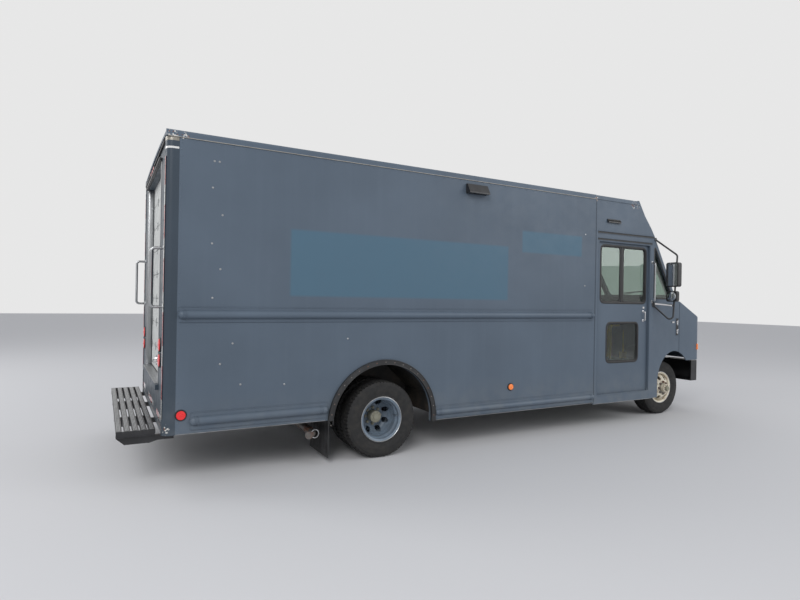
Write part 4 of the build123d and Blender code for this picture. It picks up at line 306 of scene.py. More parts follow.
# Door glass darkened well past a light tint: partly its own green tint, partly painted shade for the shaded
# cab behind it
CLEAR_TINT_AND_SHADE = glass("clear_glass", (0.50, 0.56, 0.53))
GREEN_GLASS = glass("green_glass", (0.42, 0.53, 0.47))
LAMP_GLASS = glass("lamp_glass", (0.9, 0.92, 0.94), 0.06, 0.6)
MIRROR = metal("mirror_glass", (0.82, 0.84, 0.86), 0.06, grime=0.05)
RED_LENS = lens("red_lens", linear(214, 24, 28), glow=0.25)
AMBER_LENS = lens("amber_lens", linear(240, 128, 56), glow=0.25)
VINYL = leather("seat_vinyl", (0.020, 0.020, 0.022))
DASH = matt("dash_plastic", (0.030, 0.030, 0.033), 0.55, 320.0, 0.2, dust_amount=0.2)
YELLOW = matt("rail_yellow", linear(228, 186, 30), 0.42, 120.0, 0.08, linear(120, 92, 30), 0.35, 14.0)
FLOOR = tread_plate("floor_plate", linear(128, 142, 128))
STEEL = rusty("worn_steel", (0.20, 0.19, 0.18), 0.6)
IRON = rusty("engine_iron", (0.06, 0.06, 0.065), 0.3)
SPRING = rusty("spring_steel", (0.05, 0.045, 0.04), 0.7)
WHITE_TAPE = lens("white_tape", linear(224, 224, 222), ribs=900.0)
RED_TAPE = lens("red_tape", linear(176, 28, 30), ribs=900.0)

NODE_MATERIALS = {
    "side_walls": SIDE_PAINT, "arch_panels": SIDE_PAINT, "rub_rails": TRIM_PAINT_LIT, "arch_flares": RUBBER,
    "cargo_floor": LINER,
    "roof": BODY_PAINT, "rear_frame": POST_PAINT_SHADED, "roll_up_door": LINER, "rear_step": BLACK_PAINT,
    "cab_sides": BODY_PAINT, "cab_glass": GREEN_GLASS, "roof_cap": BODY_PAINT, "cab_front": BODY_PAINT,
    "wheel_houses": CHASSIS_BLACK, "cab_floor": FLOOR, "bulkhead": LINER, "door_tracks": BRIGHT,
    "front_bumper": BLACK_PAINT, "ladder_frame": CHASSIS_BLACK, "leaf_springs": SPRING,
    "rear_axle": CHASSIS_BLACK, "front_axle": CHASSIS_BLACK, "engine": IRON, "arch_liners": CHASSIS_BLACK,
    "engine_cover": DASH, "dashboard": DASH, "steering_column": BLACK_PAINT, "seat_base": BLACK_PAINT,
    "driver_seat": VINYL, "cab_rails": YELLOW, "fuel_tank": CHASSIS_BLACK, "exhaust": STEEL,
    "mud_flaps": RUBBER, "mirrors": BLACK_PAINT, "red_lamps": RED_LENS, "amber_lamps": AMBER_LENS,
    "side_hoods": BLACK_PAINT, "handles": BRIGHT_UP, "door_handle_right": CHROME,
    "door_handle_left": CHROME,
    "cab_door_right": BODY_PAINT,
    "cab_door_left": BODY_PAINT, "door_glass_right": CLEAR_TINT_AND_SHADE, "door_glass_left": CLEAR_TINT_AND_SHADE, "hood": BODY_PAINT,
    "grille": BLACK_PAINT, "headlamps": LAMP_GLASS, "corner_lamps": AMBER_LENS,
    "knuckle_right": CHASSIS_BLACK, "knuckle_left": CHASSIS_BLACK, "tie_rod": CHASSIS_BLACK,
    "steering_wheel": DASH, "front_wheel_right": CREAM, "front_wheel_left": CREAM,
    "front_tyre_right": TYRE, "front_tyre_left": TYRE, "rear_wheels_right": WHEEL_BLUE,
    "rear_wheels_left": WHEEL_BLUE, "rear_tyres_right": TYRE, "rear_tyres_left": TYRE,
}
for name, material in NODE_MATERIALS.items():
    nodes[name].data.materials.clear()
    nodes[name].data.materials.append(material)


# Camera at the photograph's place: just ahead of the rear step, right of the vehicle, at eye height
YAW = 0.5017
ROLL = 0.0174
LENS = 24.4
CAMERA_AT = (-3.915, -5.852, 1.540)
look = Vector((math.sin(YAW), math.cos(YAW), 0.0))
right = Vector((math.cos(YAW), -math.sin(YAW), 0.0))
up = right.cross(look)
rolled_right = math.cos(ROLL) * right + math.sin(ROLL) * up
rolled_up = -math.sin(ROLL) * right + math.cos(ROLL) * up
camera = bpy.data.objects.new("camera", bpy.data.cameras.new("camera"))
camera.data.lens = LENS
camera.data.sensor_width = 36.0
camera.data.clip_end = 200.0
turn = Matrix((rolled_right, rolled_up, -look)).transposed()
camera.matrix_world = Matrix.Translation(CAMERA_AT) @ turn.to_4x4()
bpy.context.scene.collection.objects.link(camera)
bpy.context.scene.camera = camera


# Pale floor and backdrop, and soft studio light
def stage_plane(name, size, colour):
    mesh = bpy.data.meshes.new(name)
    half = size / 2
    mesh.from_pydata([(-half, -half, 0), (half, -half, 0), (half, half, 0), (-half, half, 0)], [],
                     [(0, 1, 2, 3)])
    plane = bpy.data.objects.new(name, mesh)
    bpy.context.scene.collection.objects.link(plane)
    material, _, shader = new_material(name)
    shader.inputs["Base Color"].default_value = (*colour, 1.0)
    shader.inputs["Roughness"].default_value = 0.9
    mesh.materials.append(material)
    return plane


def white_world():
    """A world that lights plainly and shows white to the camera, to gloss and through glass."""
    world = bpy.data.worlds.new("studio")
    bpy.context.scene.world = world
    world.use_nodes = True
    tree = world.node_tree
    tree.nodes.clear()
    plain = node(tree, "ShaderNodeBackground", Strength=0.62)
    plain.inputs["Color"].default_value = (0.93, 0.95, 1.0, 1.0)
    white = node(tree, "ShaderNodeBackground", Strength=1.0)
    path = tree.nodes.new("ShaderNodeLightPath")
    seen = math_node(tree, "MAXIMUM", path.outputs["Is Camera Ray"], path.outputs["Is Transmission Ray"])
    seen = math_node(tree, "MAXIMUM", seen, path.outputs["Is Glossy Ray"])
    blend = tree.nodes.new("ShaderNodeMixShader")
    tree.links.new(seen, blend.inputs[0])
    tree.links.new(plain.outputs[0], blend.inputs[1])
    tree.links.new(white.outputs[0], blend.inputs[2])
    out = tree.nodes.new("ShaderNodeOutputWorld")
    tree.links.new(blend.outputs[0], out.inputs["Surface"])


def area_lamp(name, at, aim, size, power):
    data = bpy.data.lights.new(name, "AREA")
    data.size = size
    data.energy = power
    lamp = bpy.data.objects.new(name, data)
    lamp.location = at
    lamp.rotation_euler = (Vector(aim) - Vector(at)).to_track_quat("-Z", "Y").to_euler()
    bpy.context.scene.collection.objects.link(lamp)


stage_plane("floor", 90.0, (0.62, 0.62, 0.63))
white_world()
area_lamp("key", (-9.0, -10.0, 9.0), (0.0, 0.0, 1.2), 6.0, 760.0)
area_lamp("fill", (8.0, -9.0, 6.0), (1.0, 0.0, 1.2), 7.0, 340.0)
area_lamp("rear", (-12.0, 6.0, 7.0), (-3.0, 0.0, 1.2), 5.0, 420.0)
bpy.context.scene.view_settings.view_transform = "Standard"


# Mesh kit
SHARP_ANGLE = math.radians(34)


def mirrored(sign, near, far):
    """Two distances from the middle plane, on the side of sign, in rising order."""
    return sorted((sign * near, sign * far))


def add_piece(name, bm, material, body, weld=True):
    """Turns a bmesh into an object that rides on a body."""
    if weld:
        bmesh.ops.remove_doubles(bm, verts=bm.verts, dist=1e-6)
    bmesh.ops.recalc_face_normals(bm, faces=bm.faces)
    mesh = bpy.data.meshes.new(name)
    bm.to_mesh(mesh)
    bm.free()
    mesh.materials.append(material)
    mesh.shade_smooth()
    mesh.set_sharp_from_angle(angle=SHARP_ANGLE)
    piece = bpy.data.objects.new(name, mesh)
    bpy.context.scene.collection.objects.link(piece)
    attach(piece, body)
    return piece


def add_box(bm, x, y, z, bevel=0.0, segments=2, turn=None):
    """A box from three (low, high) pairs, with rounded edges."""
    size = [high - low for low, high in (x, y, z)]
    middle = Vector([(high + low) / 2 for low, high in (x, y, z)])
    matrix = Matrix.Translation(middle) @ (turn or Matrix()) @ Matrix.Diagonal((*size, 1.0))
    made = bmesh.ops.create_cube(bm, size=1.0, matrix=matrix)
    if bevel:
        edges = {edge for vert in made["verts"] for edge in vert.link_edges}
        bmesh.ops.bevel(bm, geom=list(edges), offset=bevel, segments=segments, profile=0.5, affect="EDGES")


def add_lathe(bm, profile, centre, axis, steps=48, closed=False):
    """Turns a (radius, along) profile about an axis through centre."""
    along = Vector({"X": (1, 0, 0), "Y": (0, 1, 0), "Z": (0, 0, 1)}[axis])
    side = Vector({"X": (0, 1, 0), "Y": (0, 0, 1), "Z": (1, 0, 0)}[axis])
    add_ring_surface(bm, profile, Vector(centre), along, side, steps, closed)


def add_ring_surface(bm, profile, centre, along, side, steps, closed):
    other = along.cross(side)
    rings = []
    for radius, distance in profile:
        if radius < 1e-6:
            rings.append([bm.verts.new(centre + along * distance)])
            continue
        ring = []
        for index in range(steps):
            turn = 2 * math.pi * index / steps
            spoke = side * math.cos(turn) + other * math.sin(turn)
            ring.append(bm.verts.new(centre + along * distance + spoke * radius))
        rings.append(ring)
    pairs = list(zip(rings, rings[1:]))
    if closed:
        pairs.append((rings[-1], rings[0]))
    for one, two in pairs:
        for index in range(steps):
            after = (index + 1) % steps
            if len(one) == 1 and len(two) == 1:
                continue
            if len(one) == 1:
                bm.faces.new((one[0], two[index], two[after]))
            elif len(two) == 1:
                bm.faces.new((one[index], two[0], one[after]))
            else:
                bm.faces.new((one[index], two[index], two[after], one[after]))


def add_tube(bm, points, radius, closed=False, sides=10, flat=1.0, flat_along=None):
    """A round or flattened bar along points; flat squeezes it along the given direction."""
    points = [Vector(p) for p in points]
    count = len(points)
    rings = []
    normal = None
    for index, point in enumerate(points):
        before = points[index - 1] if closed or index else point
        after = points[(index + 1) % count] if closed or index < count - 1 else point
        tangent = (after - before).normalized()
        if normal is None:
            guide = Vector((0, 0, 1)) if abs(tangent.z) < 0.9 else Vector((1, 0, 0))
            normal = tangent.cross(guide).normalized()
        normal = (normal - tangent * normal.dot(tangent)).normalized()
        other = tangent.cross(normal)
        ring = []
        for side in range(sides):
            turn = 2 * math.pi * side / sides
            offset = (normal * math.cos(turn) + other * math.sin(turn)) * radius
            if flat_along is not None:
                squeeze = Vector(flat_along)
                offset -= squeeze * offset.dot(squeeze) * (1 - flat)
            ring.append(bm.verts.new(point + offset))
        rings.append(ring)
    links = list(zip(rings, rings[1:]))
    if closed:
        links.append((rings[-1], rings[0]))
    for one, two in links:
        shift = 0
        if closed and two is rings[0]:
            gaps = [sum((one[k].co - two[(k + s) % sides].co).length for k in range(sides))
                    for s in range(sides)]
            shift = gaps.index(min(gaps))
        for side in range(sides):
            after = (side + 1) % sides
            bm.faces.new((one[side], two[(side + shift) % sides], two[(after + shift) % sides], one[after]))
    if not closed:
        bm.faces.new(rings[0][::-1])
        bm.faces.new(rings[-1])


def round_corners(points, radius, closed=False, steps=5):
    """Points of a polyline with its corners rounded by arcs."""
    points = [Vector(p) for p in points]
    count = len(points)
    made = []
    for index, corner in enumerate(points):
        if not closed and index in (0, count - 1):
            made.append(corner)
            continue
        before = (points[index - 1] - corner)
        after = (points[(index + 1) % count] - corner)
        reach = min(radius, before.length * 0.49, after.length * 0.49)
        one = corner + before.normalized() * reach
        two = corner + after.normalized() * reach
        for step in range(steps + 1):
            t = step / steps
            made.append(one * (1 - t) ** 2 + corner * 2 * t * (1 - t) + two * t * t)
    return made


def add_disc_row(bm, spots, normal, radius, height, sides=10):
    """Domed rivet heads on a face with that outward normal."""
    along = Vector(normal).normalized()
    guide = Vector((0, 0, 1)) if abs(along.z) < 0.9 else Vector((1, 0, 0))
    side = along.cross(guide).normalized()
    profile = [(radius, -0.0005), (radius, height * 0.25), (radius * 0.72, height * 0.8), (0.0, height)]
    for spot in spots:
        add_ring_surface(bm, profile, Vector(spot), along, side, sides, False)


def add_nut(bm, centre, along, radius, length):
    """A hexagon nut with a bolt end standing out of it."""
    along = Vector(along)
    guide = Vector((0, 0, 1)) if abs(along.z) < 0.9 else Vector((1, 0, 0))
    side = along.cross(guide).normalized()
    add_ring_surface(bm, [(radius, 0.0), (radius, length * 0.82), (radius * 0.82, length), (0.0, length)],
                     Vector(centre), along, side, 6, False)
    add_ring_surface(bm, [(radius * 0.5, length), (radius * 0.5, length * 1.45), (0.0, length * 1.5)],
                     Vector(centre), along, side, 10, False)


def add_strip(bm, points, low, high, thick):
    """An upright strip of plate along (x, y) points, thickened to its right-hand side."""
    points = [Vector((x, y, 0)) for x, y in points]
    inner = []
    outer = []
    for index, point in enumerate(points):
        before = points[max(index - 1, 0)]
        after = points[min(index + 1, len(points) - 1)]
        run = (after - before).normalized()
        out = Vector((run.y, -run.x, 0))
        inner.append(point)
        outer.append(point + out * thick)
    ring = inner + outer[::-1]
    lower = [bm.verts.new((p.x, p.y, low)) for p in ring]
    upper = [bm.verts.new((p.x, p.y, high)) for p in ring]
    count = len(ring)
    for index in range(count):
        after = (index + 1) % count
        bm.faces.new((lower[index], lower[after], upper[after], upper[index]))
    half = len(inner)
    for index in range(half - 1):
        bm.faces.new((lower[index], lower[index + 1], lower[count - 2 - index], lower[count - 1 - index]))
        bm.faces.new((upper[index], upper[index + 1], upper[count - 2 - index], upper[count - 1 - index]))


def window_ring(x, z, y, corner):
    """Points round a rounded window in a plane of constant y."""
    corners = [(x[0], y, z[0]), (x[1], y, z[0]), (x[1], y, z[1]), (x[0], y, z[1])]
    return round_corners(corners, corner, closed=True, steps=6)


def steps_between(low, high, pitch):
    count = max(1, round((high - low) / pitch))
    return [low + (high - low) * index / count for index in range(count + 1)]


def side_y(x, sign):
    """Y of the outer skin at x on one side of the body, following the cab's taper."""
    share = max(0.0, (x - TAPER_START) / (HOOD_SEAM - TAPER_START))
    return sign * (HALF - 0.08 * share)


SIDES = (("right", -1), ("left", 1))


# Tyres: ribbed sidewalls and a block tread
TYRE_PROFILE = [
    (0.2040, 0.060), (0.2038, 0.0815), (0.2218, 0.0885), (0.2222, 0.0985), (0.232, 0.1005), (0.236, 0.0990),
    (0.262, 0.1060), (0.284, 0.1080), (0.287, 0.1087), (0.290, 0.1083), (0.312, 0.1084), (0.330, 0.1062),
    (0.334, 0.1064), (0.338, 0.1048), (0.350, 0.0995),
]
TREAD_RIBS = [(-0.0935, -0.064), (-0.057, -0.0335), (-0.0275, 0.0275), (0.0335, 0.057), (0.064, 0.0935)]
TREAD_TOP = 0.3718
TREAD_EDGE = 0.3655
TREAD_FLOOR = 0.3610
PITCHES = 64
BLOCK_SHARE = 0.74


def tread_radius(y, top):
    crown = TREAD_TOP - (TREAD_TOP - TREAD_EDGE) * (abs(y) / 0.0935) ** 3
    return crown if top else TREAD_FLOOR - (0.004 if abs(y) > 0.07 else 0.0)


def tyre_columns():
    """Width stations across the tread: (y, is rib, rib number)."""
    columns = [(-0.0975, False, -1)]
    for number, (low, high) in enumerate(TREAD_RIBS):
        columns += [(low, True, number), ((low + high) / 2, True, number), (high, True, number)]
        if number < len(TREAD_RIBS) - 1:
            gap = TREAD_RIBS[number + 1][0]
            columns += [(high + 0.001, False, -1), (gap - 0.001, False, -1)]
    columns.append((0.0975, False, -1))
    return columns


def add_tyre(bm, x, y, z):
    """One tyre about a line along Y through (x, y, z)."""
    columns = tyre_columns()
    angles = []
    for pitch in range(PITCHES):
        start = pitch / PITCHES
        angles += [(start, True), (start + BLOCK_SHARE / PITCHES, True),
                   (start + (BLOCK_SHARE + 0.04) / PITCHES, False), (start + 0.96 / PITCHES, False)]
    grid = []
    for share, high in angles:
        row = []
        for across, rib, number in columns:
            lean = 3.2 * across / PITCHES
            turn = 2 * math.pi * (share + lean)
            solid_rib = number == 2
            radius = tread_radius(across, rib and (high or solid_rib))
            row.append(bm.verts.new((x + radius * math.cos(turn), y + across, z + radius * math.sin(turn))))
        grid.append(row)
    count = len(angles)
    for index in range(count):
        after = (index + 1) % count
        for column in range(len(columns) - 1):
            bm.faces.new((grid[index][column], grid[index][column + 1], grid[after][column + 1],
                          grid[after][column]))
    for sign in (-1, 1):
        edge = 0 if sign < 0 else len(columns) - 1
        lean = 3.2 * columns[edge][0] / PITCHES
        previous = [row[edge] for row in grid]
        for radius, across in reversed(TYRE_PROFILE):
            ring = []
            for share, high in angles:
                turn = 2 * math.pi * (share + lean)
                ring.append(bm.verts.new((x + radius * math.cos(turn), y + sign * across,
                                          z + radius * math.sin(turn))))
            for index in range(count):
                after = (index + 1) % count
                bm.faces.new((previous[index], previous[after], ring[after], ring[index]))
            previous = ring
        if sign < 0:
            inner_low = previous
        else:
            inner_high = previous
    liner = []
    for radius, across in ((0.2042, 0.059), (0.24, 0.05), (0.24, -0.05), (0.2042, -0.059)):
        ring = []
        for share, high in angles:
            turn = 2 * math.pi * share
            ring.append(bm.verts.new((x + radius * math.cos(turn), y + across,
                                      z + radius * math.sin(turn))))
        liner.append(ring)
    for one, two in [(inner_high, liner[0]), (liner[0], liner[1]), (liner[1], liner[2]),
                     (liner[2], liner[3]),
                     (liner[3], inner_low)]:
        for index in range(count):
            after = (index + 1) % count
            bm.faces.new((one[index], one[after], two[after], two[index]))


FRONT_TRACK = 0.815
DUALS = (1.038, 0.776)
for side, sign in SIDES:
    tyre = bmesh.new()
    add_tyre(tyre, FRONT_AXLE, sign * FRONT_TRACK, AXLE_Z)
    piece = add_piece("front_tyre_tread_" + side, tyre, TYRE, "front_wheel_" + side)
    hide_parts("front_tyre_" + side)
    tyre = bmesh.new()
    for track in DUALS:
        add_tyre(tyre, REAR_AXLE, sign * track, AXLE_Z)
    piece = add_piece("rear_tyre_tread_" + side, tyre, TYRE, "rear_wheels_" + side)
    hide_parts("rear_tyres_" + side)


# Wheel nuts, hub caps, flange rings and valves
NUT_CIRCLE = 0.08255
NUT_COUNT = 8
FRONT_FACE = 0.946
REAR_FACE = 0.918


def add_wheel_fittings(bm, x, face, out, hub_end):
    for index in range(NUT_COUNT):
        turn = 2 * math.pi * index / NUT_COUNT
        spot = (x + NUT_CIRCLE * math.cos(turn), face, AXLE_Z + NUT_CIRCLE * math.sin(turn))
        add_nut(bm, spot, (0, out, 0), 0.0165, 0.020)
    for index in range(NUT_COUNT):
        turn = 2 * math.pi * (index + 0.5) / NUT_COUNT
        spot = (x + 0.042 * math.cos(turn), hub_end, AXLE_Z + 0.042 * math.sin(turn))
        add_nut(bm, spot, (0, out, 0), 0.006, 0.006)


for side, sign in SIDES:
    fittings = bmesh.new()
    add_wheel_fittings(fittings, FRONT_AXLE, sign * FRONT_FACE, sign, sign * 1.008)
    add_piece("front_nuts_" + side, fittings, STEEL, "front_wheel_" + side)
    cap = bmesh.new()
    add_lathe(cap, [(0.034, 0.0), (0.034, sign * 0.016), (0.030, sign * 0.024), (0.0, sign * 0.028)],
              (FRONT_AXLE, sign * 1.008, AXLE_Z), "Y", 32)
    add_lathe(cap, [(0.062, 0.0), (0.066, sign * 0.012), (0.059, sign * 0.018), (0.057, sign * 0.018)],
              (FRONT_AXLE, sign * 0.947, AXLE_Z), "Y", 40)
    add_piece("front_hub_cap_" + side, cap, HUB_GREY, "front_wheel_" + side)
    fittings = bmesh.new()
    add_wheel_fittings(fittings, REAR_AXLE, sign * REAR_FACE, sign, sign * 1.003)
    add_piece("rear_nuts_" + side, fittings, HUB_GREY, "rear_wheels_" + side)
    cap = bmesh.new()
    add_lathe(cap, [(0.0575, -sign * 0.080), (0.0585, -sign * 0.006), (0.055, 0.0), (0.0575, sign * 0.0006),
                    (0.050, sign * 0.004), (0.030, sign * 0.0045), (0.028, sign * 0.010),
                    (0.0, sign * 0.012)],
              (REAR_AXLE, sign * 1.003, AXLE_Z), "Y", 40)
    add_piece("rear_hub_cap_" + side, cap, HUB_GREY, "rear_wheels_" + side)
    for body, x, y in (("front_wheel_" + side, FRONT_AXLE, 0.911),
                       ("rear_wheels_" + side, REAR_AXLE, 1.134)):
        rim = bmesh.new()
        add_lathe(rim, [(0.2135, sign * 0.0), (0.2165, sign * 0.003), (0.2208, sign * 0.0015),
                        (0.2218, -sign * 0.004),
                        (0.2205, -sign * 0.006), (0.2150, -sign * 0.003)],
                  (x, sign * y, AXLE_Z), "Y", 96, closed=True)
        valve = [(x + 0.166, sign * (y - 0.070), AXLE_Z + 0.02),
                 (x + 0.172, sign * (y - 0.045), AXLE_Z + 0.02),
                 (x + 0.176, sign * (y - 0.015), AXLE_Z + 0.02)]
        add_tube(rim, valve, 0.0035, sides=8)
        add_piece("rim_edge_" + body, rim, BRIGHT, body)


# Rivets along the seams of the body sides
RIVET = 0.0065


def side_rivets(sign):
    face = sign * (HALF + 0.0002)
    spots = [(x, face, 2.800) for x in steps_between(-3.37, 1.35, 0.100)]
    spots += [(-3.374, face, z) for z in steps_between(0.46, 2.78, 0.055)]
    spots += [(1.345, face, z) for z in steps_between(0.50, 2.76, 0.110)]
    for low, high, z in ((-3.36, -2.12, 0.434), (-0.88, 1.35, 0.329)):
        spots += [(x, face, z) for x in steps_between(low, high, 0.120)]
    return spots


STUDS = [(-3.12, 2.66), (-3.08, 2.66), (-3.13, 2.44), (-3.05, 2.22), (-3.13, 1.98), (-3.06, 1.77),
         (-3.12, 1.53),
         (-2.95, 1.15), (-3.05, 0.98), (-2.88, 0.80), (-2.50, 0.78), (-1.90, 1.17), (1.19, 2.37),
         (1.19, 1.75)]
for side, sign in SIDES:
    rivets = bmesh.new()
    add_disc_row(rivets, side_rivets(sign), (0, sign, 0), RIVET, 0.0026, 8)
    add_piece("side_rivets_" + side, rivets, TRIM_PAINT_LIT, "chassis", weld=False)
    studs = bmesh.new()
    add_disc_row(studs, [(x, sign * (HALF + 0.0002), z) for x, z in STUDS], (0, sign, 0), 0.009, 0.004, 10)
    add_piece("side_studs_" + side, studs, BRIGHT, "chassis", weld=False)

# Cab rivets: round the door opening and down the seam behind it
for side, sign in SIDES:
    rivets = bmesh.new()
    spots = [(1.392, side_y(1.392, sign) + sign * 0.0002, z) for z in steps_between(0.36, 2.78, 0.120)]
    spots += [(x, side_y(x, sign) + sign * 0.0002, 0.360) for x in steps_between(1.44, 2.38, 0.118)]
    spots += [(x, side_y(x, sign) + sign * 0.0002, 2.795) for x in steps_between(1.44, 2.05, 0.120)]
    spots += [(2.47, side_y(2.47, sign) + sign * 0.0002, z) for z in steps_between(0.95, 1.52, 0.095)]
    add_disc_row(rivets, spots, (0, sign, 0), 0.006, 0.0024, 8)
    add_piece("cab_rivets_" + side, rivets, BODY_PAINT, "chassis", weld=False)

# Rub rail screws, end collars and thin edges of the backing strips; their lighter trim paint is a painted
# highlight
RUB_ROWS = [(-3.350, 1.315, 1.392, 0.035, 0.062), (-3.250, -2.124, 0.525, 0.035, 0.070),
            (-0.892, 1.335, 0.400, 0.030, 0.062)]
STRIP_FACE = 1.1843
for side, sign in SIDES:
    collars = bmesh.new()
    screws = bmesh.new()
    lips = bmesh.new()
    spots = []
    for start, end, z, radius, strip in RUB_ROWS:
        for x in (start + 0.012, end - 0.042):
            arc = []
            for step in range(13):
                turn = math.pi * step / 12
                arc.append((x, sign * (STRIP_FACE + (radius + 0.002) * math.sin(turn)),
                            z + (radius + 0.002) * math.cos(turn)))
            for shift in (0.0, 0.022):
                add_tube(collars, [(p[0] + shift, p[1], p[2]) for p in arc], 0.0032, sides=6)
        for low in (-1, 1):
            spots += [(x, sign * (STRIP_FACE + 0.0002), z + low * (strip - 0.010))
                      for x in steps_between(start, end, 0.155)]
            y = (sign * STRIP_FACE, sign * (STRIP_FACE + 0.0035))
            edge = z + low * (strip - 0.0015)
            add_box(lips, (start - 0.024, end + 0.024), sorted(y), (edge - 0.003, edge + 0.003), 0.001, 1)
    add_disc_row(screws, spots, (0, sign, 0), 0.0055, 0.0022, 8)
    add_piece("rub_rail_collars_" + side, collars, TRIM_PAINT_LIT, "chassis")
    add_piece("rub_rail_screws_" + side, screws, TRIM_PAINT_LIT, "chassis", weld=False)
    add_piece("rub_rail_lips_" + side, lips, TRIM_PAINT_LIT, "chassis")

# Roof edge: pale drip lip under the rail, and cap seams
DRIP = matt("drip_edge", linear(166, 162, 154), 0.45, 200.0, 0.05, linear(110, 96, 84), 0.5, 10.0)
for side, sign in SIDES:
    lip = bmesh.new()
    add_box(lip, (BODY_REAR + 0.01, CARGO_FRONT - 0.01), mirrored(sign, 1.1806, 1.1885), (2.8145, 2.8205),
            0.0015, 1)
    add_piece("roof_drip_" + side, lip, DRIP, "chassis")
    sill = bmesh.new()
    add_box(sill, (-3.388, -2.110), mirrored(sign, 1.1802, 1.1832), (0.4225, 0.4275), 0.0012, 1)
    add_box(sill, (-0.905, 1.365), mirrored(sign, 1.1802, 1.1832), (0.3205, 0.3255), 0.0012, 1)
    add_box(sill, (1.369, 2.405), mirrored(sign, 1.1802, 1.1825), (0.3005, 0.3050), 0.0012, 1)
    add_piece("sill_edge_" + side, sill, BRIGHT, "chassis")
    seam = bmesh.new()
    add_box(seam, (1.3655, 1.3685), mirrored(sign, 1.1795, 1.1812), (0.325, 2.812), 0.0005, 1)
    add_piece("body_seam_" + side, seam, SEAL, "chassis")
    cover = bmesh.new()
    add_box(cover, (1.374, 1.402), mirrored(sign, 1.1801, 1.1835), (0.31, 2.812), 0.0014, 1)
    add_piece("seam_cover_" + side, cover, BODY_PAINT, "chassis")

# Worn cap and pale band on each rear corner post
WORN_CAP = metal("worn_cap", linear(150, 146, 138), 0.42, grime=0.6)
POST_CORNER = 0.055


def post_path(sign, offset):
    """Plan points round the rear corner, from the side face to the rear face."""
    radius = POST_CORNER + offset
    centre = (BODY_REAR + POST_CORNER, sign * (HALF - POST_CORNER))
    points = [(WALL_REAR - 0.004, sign * (HALF + offset))]
    for step in range(9):
        turn = math.pi / 2 * step / 8
        points.append((centre[0] - radius * math.sin(turn), centre[1] + sign * radius * math.cos(turn)))
    points.append((BODY_REAR - offset, sign * 1.092))
    return points if sign > 0 else points[::-1]


for side, sign in SIDES:
    band = bmesh.new()
    add_strip(band, post_path(sign, 0.0004), 2.722, 2.738, -0.0022)
    add_piece("post_band_" + side, band, WHITE_TAPE, "chassis")
    cap = bmesh.new()
    add_strip(cap, post_path(sign, 0.0004), 2.786, 2.817, -0.0030)
    add_piece("post_cap_" + side, cap, WORN_CAP, "chassis")
    rivets = bmesh.new()
    add_disc_row(rivets, [(BODY_REAR - 0.0004, sign * 1.105, z) for z in steps_between(0.50, 2.70, 0.110)],
                 (-1, 0, 0), 0.006, 0.0024, 8)
    add_piece("post_rivets_" + side, rivets, POST_PAINT_SHADED, "chassis", weld=False)

# Reflective tape in plain red and white lengths, up the posts and along the rear sill
TAPE_HALF = 0.024
TAPE_RED = 0.27
TAPE_WHITE = 0.16
reds = bmesh.new()
whites = bmesh.new()
for side, sign in SIDES:
    z = 0.55
    turn = 0
    while z < 2.60:
        length = TAPE_RED if turn % 2 else TAPE_WHITE
        target = reds if turn % 2 else whites
        y = (sign * 1.128 - TAPE_HALF, sign * 1.128 + TAPE_HALF)
        add_box(target, (BODY_REAR - 0.0012, BODY_REAR - 0.0002), y, (z, min(z + length, 2.66)), 0.0003, 1)
        z += length
        turn += 1
for low, high in ((-1.04, -0.64), (-0.30, 0.34), (0.76, 1.04)):
    y = low
    turn = 0
    while y < high:
        length = TAPE_RED if turn % 2 else TAPE_WHITE
        target = reds if turn % 2 else whites
        end = min(y + length, high)
        add_box(target, (BODY_REAR + 0.0048, BODY_REAR + 0.0058), (y, end), (0.505, 0.553), 0.0003, 1)
        y = end
        turn += 1
add_piece("tape_red", reds, RED_TAPE, "chassis")
add_piece("tape_white", whites, WHITE_TAPE, "chassis")

# Lamp bodies: rubber bezels and a raised middle on every round lamp
REAR_FACE_X = -3.484
ROUND_LAMPS = []
for side, sign in SIDES:
    ROUND_LAMPS.append((("red_side_" + side), (-3.349, sign * HALF, 0.580), "Y", sign, 0.036, RED_LENS,
                        "lamp_red"))
    ROUND_LAMPS.append((("amber_side_" + side), (0.060, sign * HALF, 0.600), "Y", sign, 0.032, AMBER_LENS,
                        "lamp_amber"))
    for level in (1.000, 1.130):
        ROUND_LAMPS.append((("tail_%s_%d" % (side, level * 1000)), (REAR_FACE_X, sign * 0.910, level), "X",
                            -1, 0.052,
                            RED_LENS, "lamp_red"))
for name, centre, axis, out, radius, material, slot in ROUND_LAMPS:
    bezel = bmesh.new()
    add_lathe(bezel, [(radius + 0.0006, 0.0), (radius + 0.010, 0.0), (radius + 0.0095, out * 0.006),
                      (radius + 0.006, out * 0.010), (radius + 0.0008, out * 0.010)], centre, axis, 36,
                      closed=True)
    add_piece(name + "_bezel", bezel, SEAL, "chassis")
    dome = bmesh.new()
    add_lathe(dome, [(radius, out * 0.0138), (radius * 0.97, out * 0.0162), (radius * 0.72, out * 0.0180),
                     (radius * 0.68, out * 0.0168), (radius * 0.30, out * 0.0185), (0.0, out * 0.0190)],
                     centre, axis, 36)
    add_lathe(dome, [(radius * 0.16, out * 0.018), (radius * 0.13, out * 0.0215), (0.0, out * 0.022)],
              centre, axis, 16)
    add_piece(name + "_lens", dome, material, "chassis")

# Header marker lamps: black bodies round the red lenses
markers = bmesh.new()
for y in (-0.150, 0.0, 0.150):
    for low, high in ((2.7435, 2.7455), (2.7745, 2.7775)):
        add_box(markers, (-3.507, -3.484), (y - 0.048, y + 0.048), (low, high), 0.0008, 1)
    for low, high in ((y - 0.050, y - 0.0453), (y + 0.0453, y + 0.050)):
        add_box(markers, (-3.507, -3.484), (low, high), (2.7435, 2.7775), 0.0008, 1)
add_piece("header_lamp_frames", markers, BLACK_PAINT, "chassis")

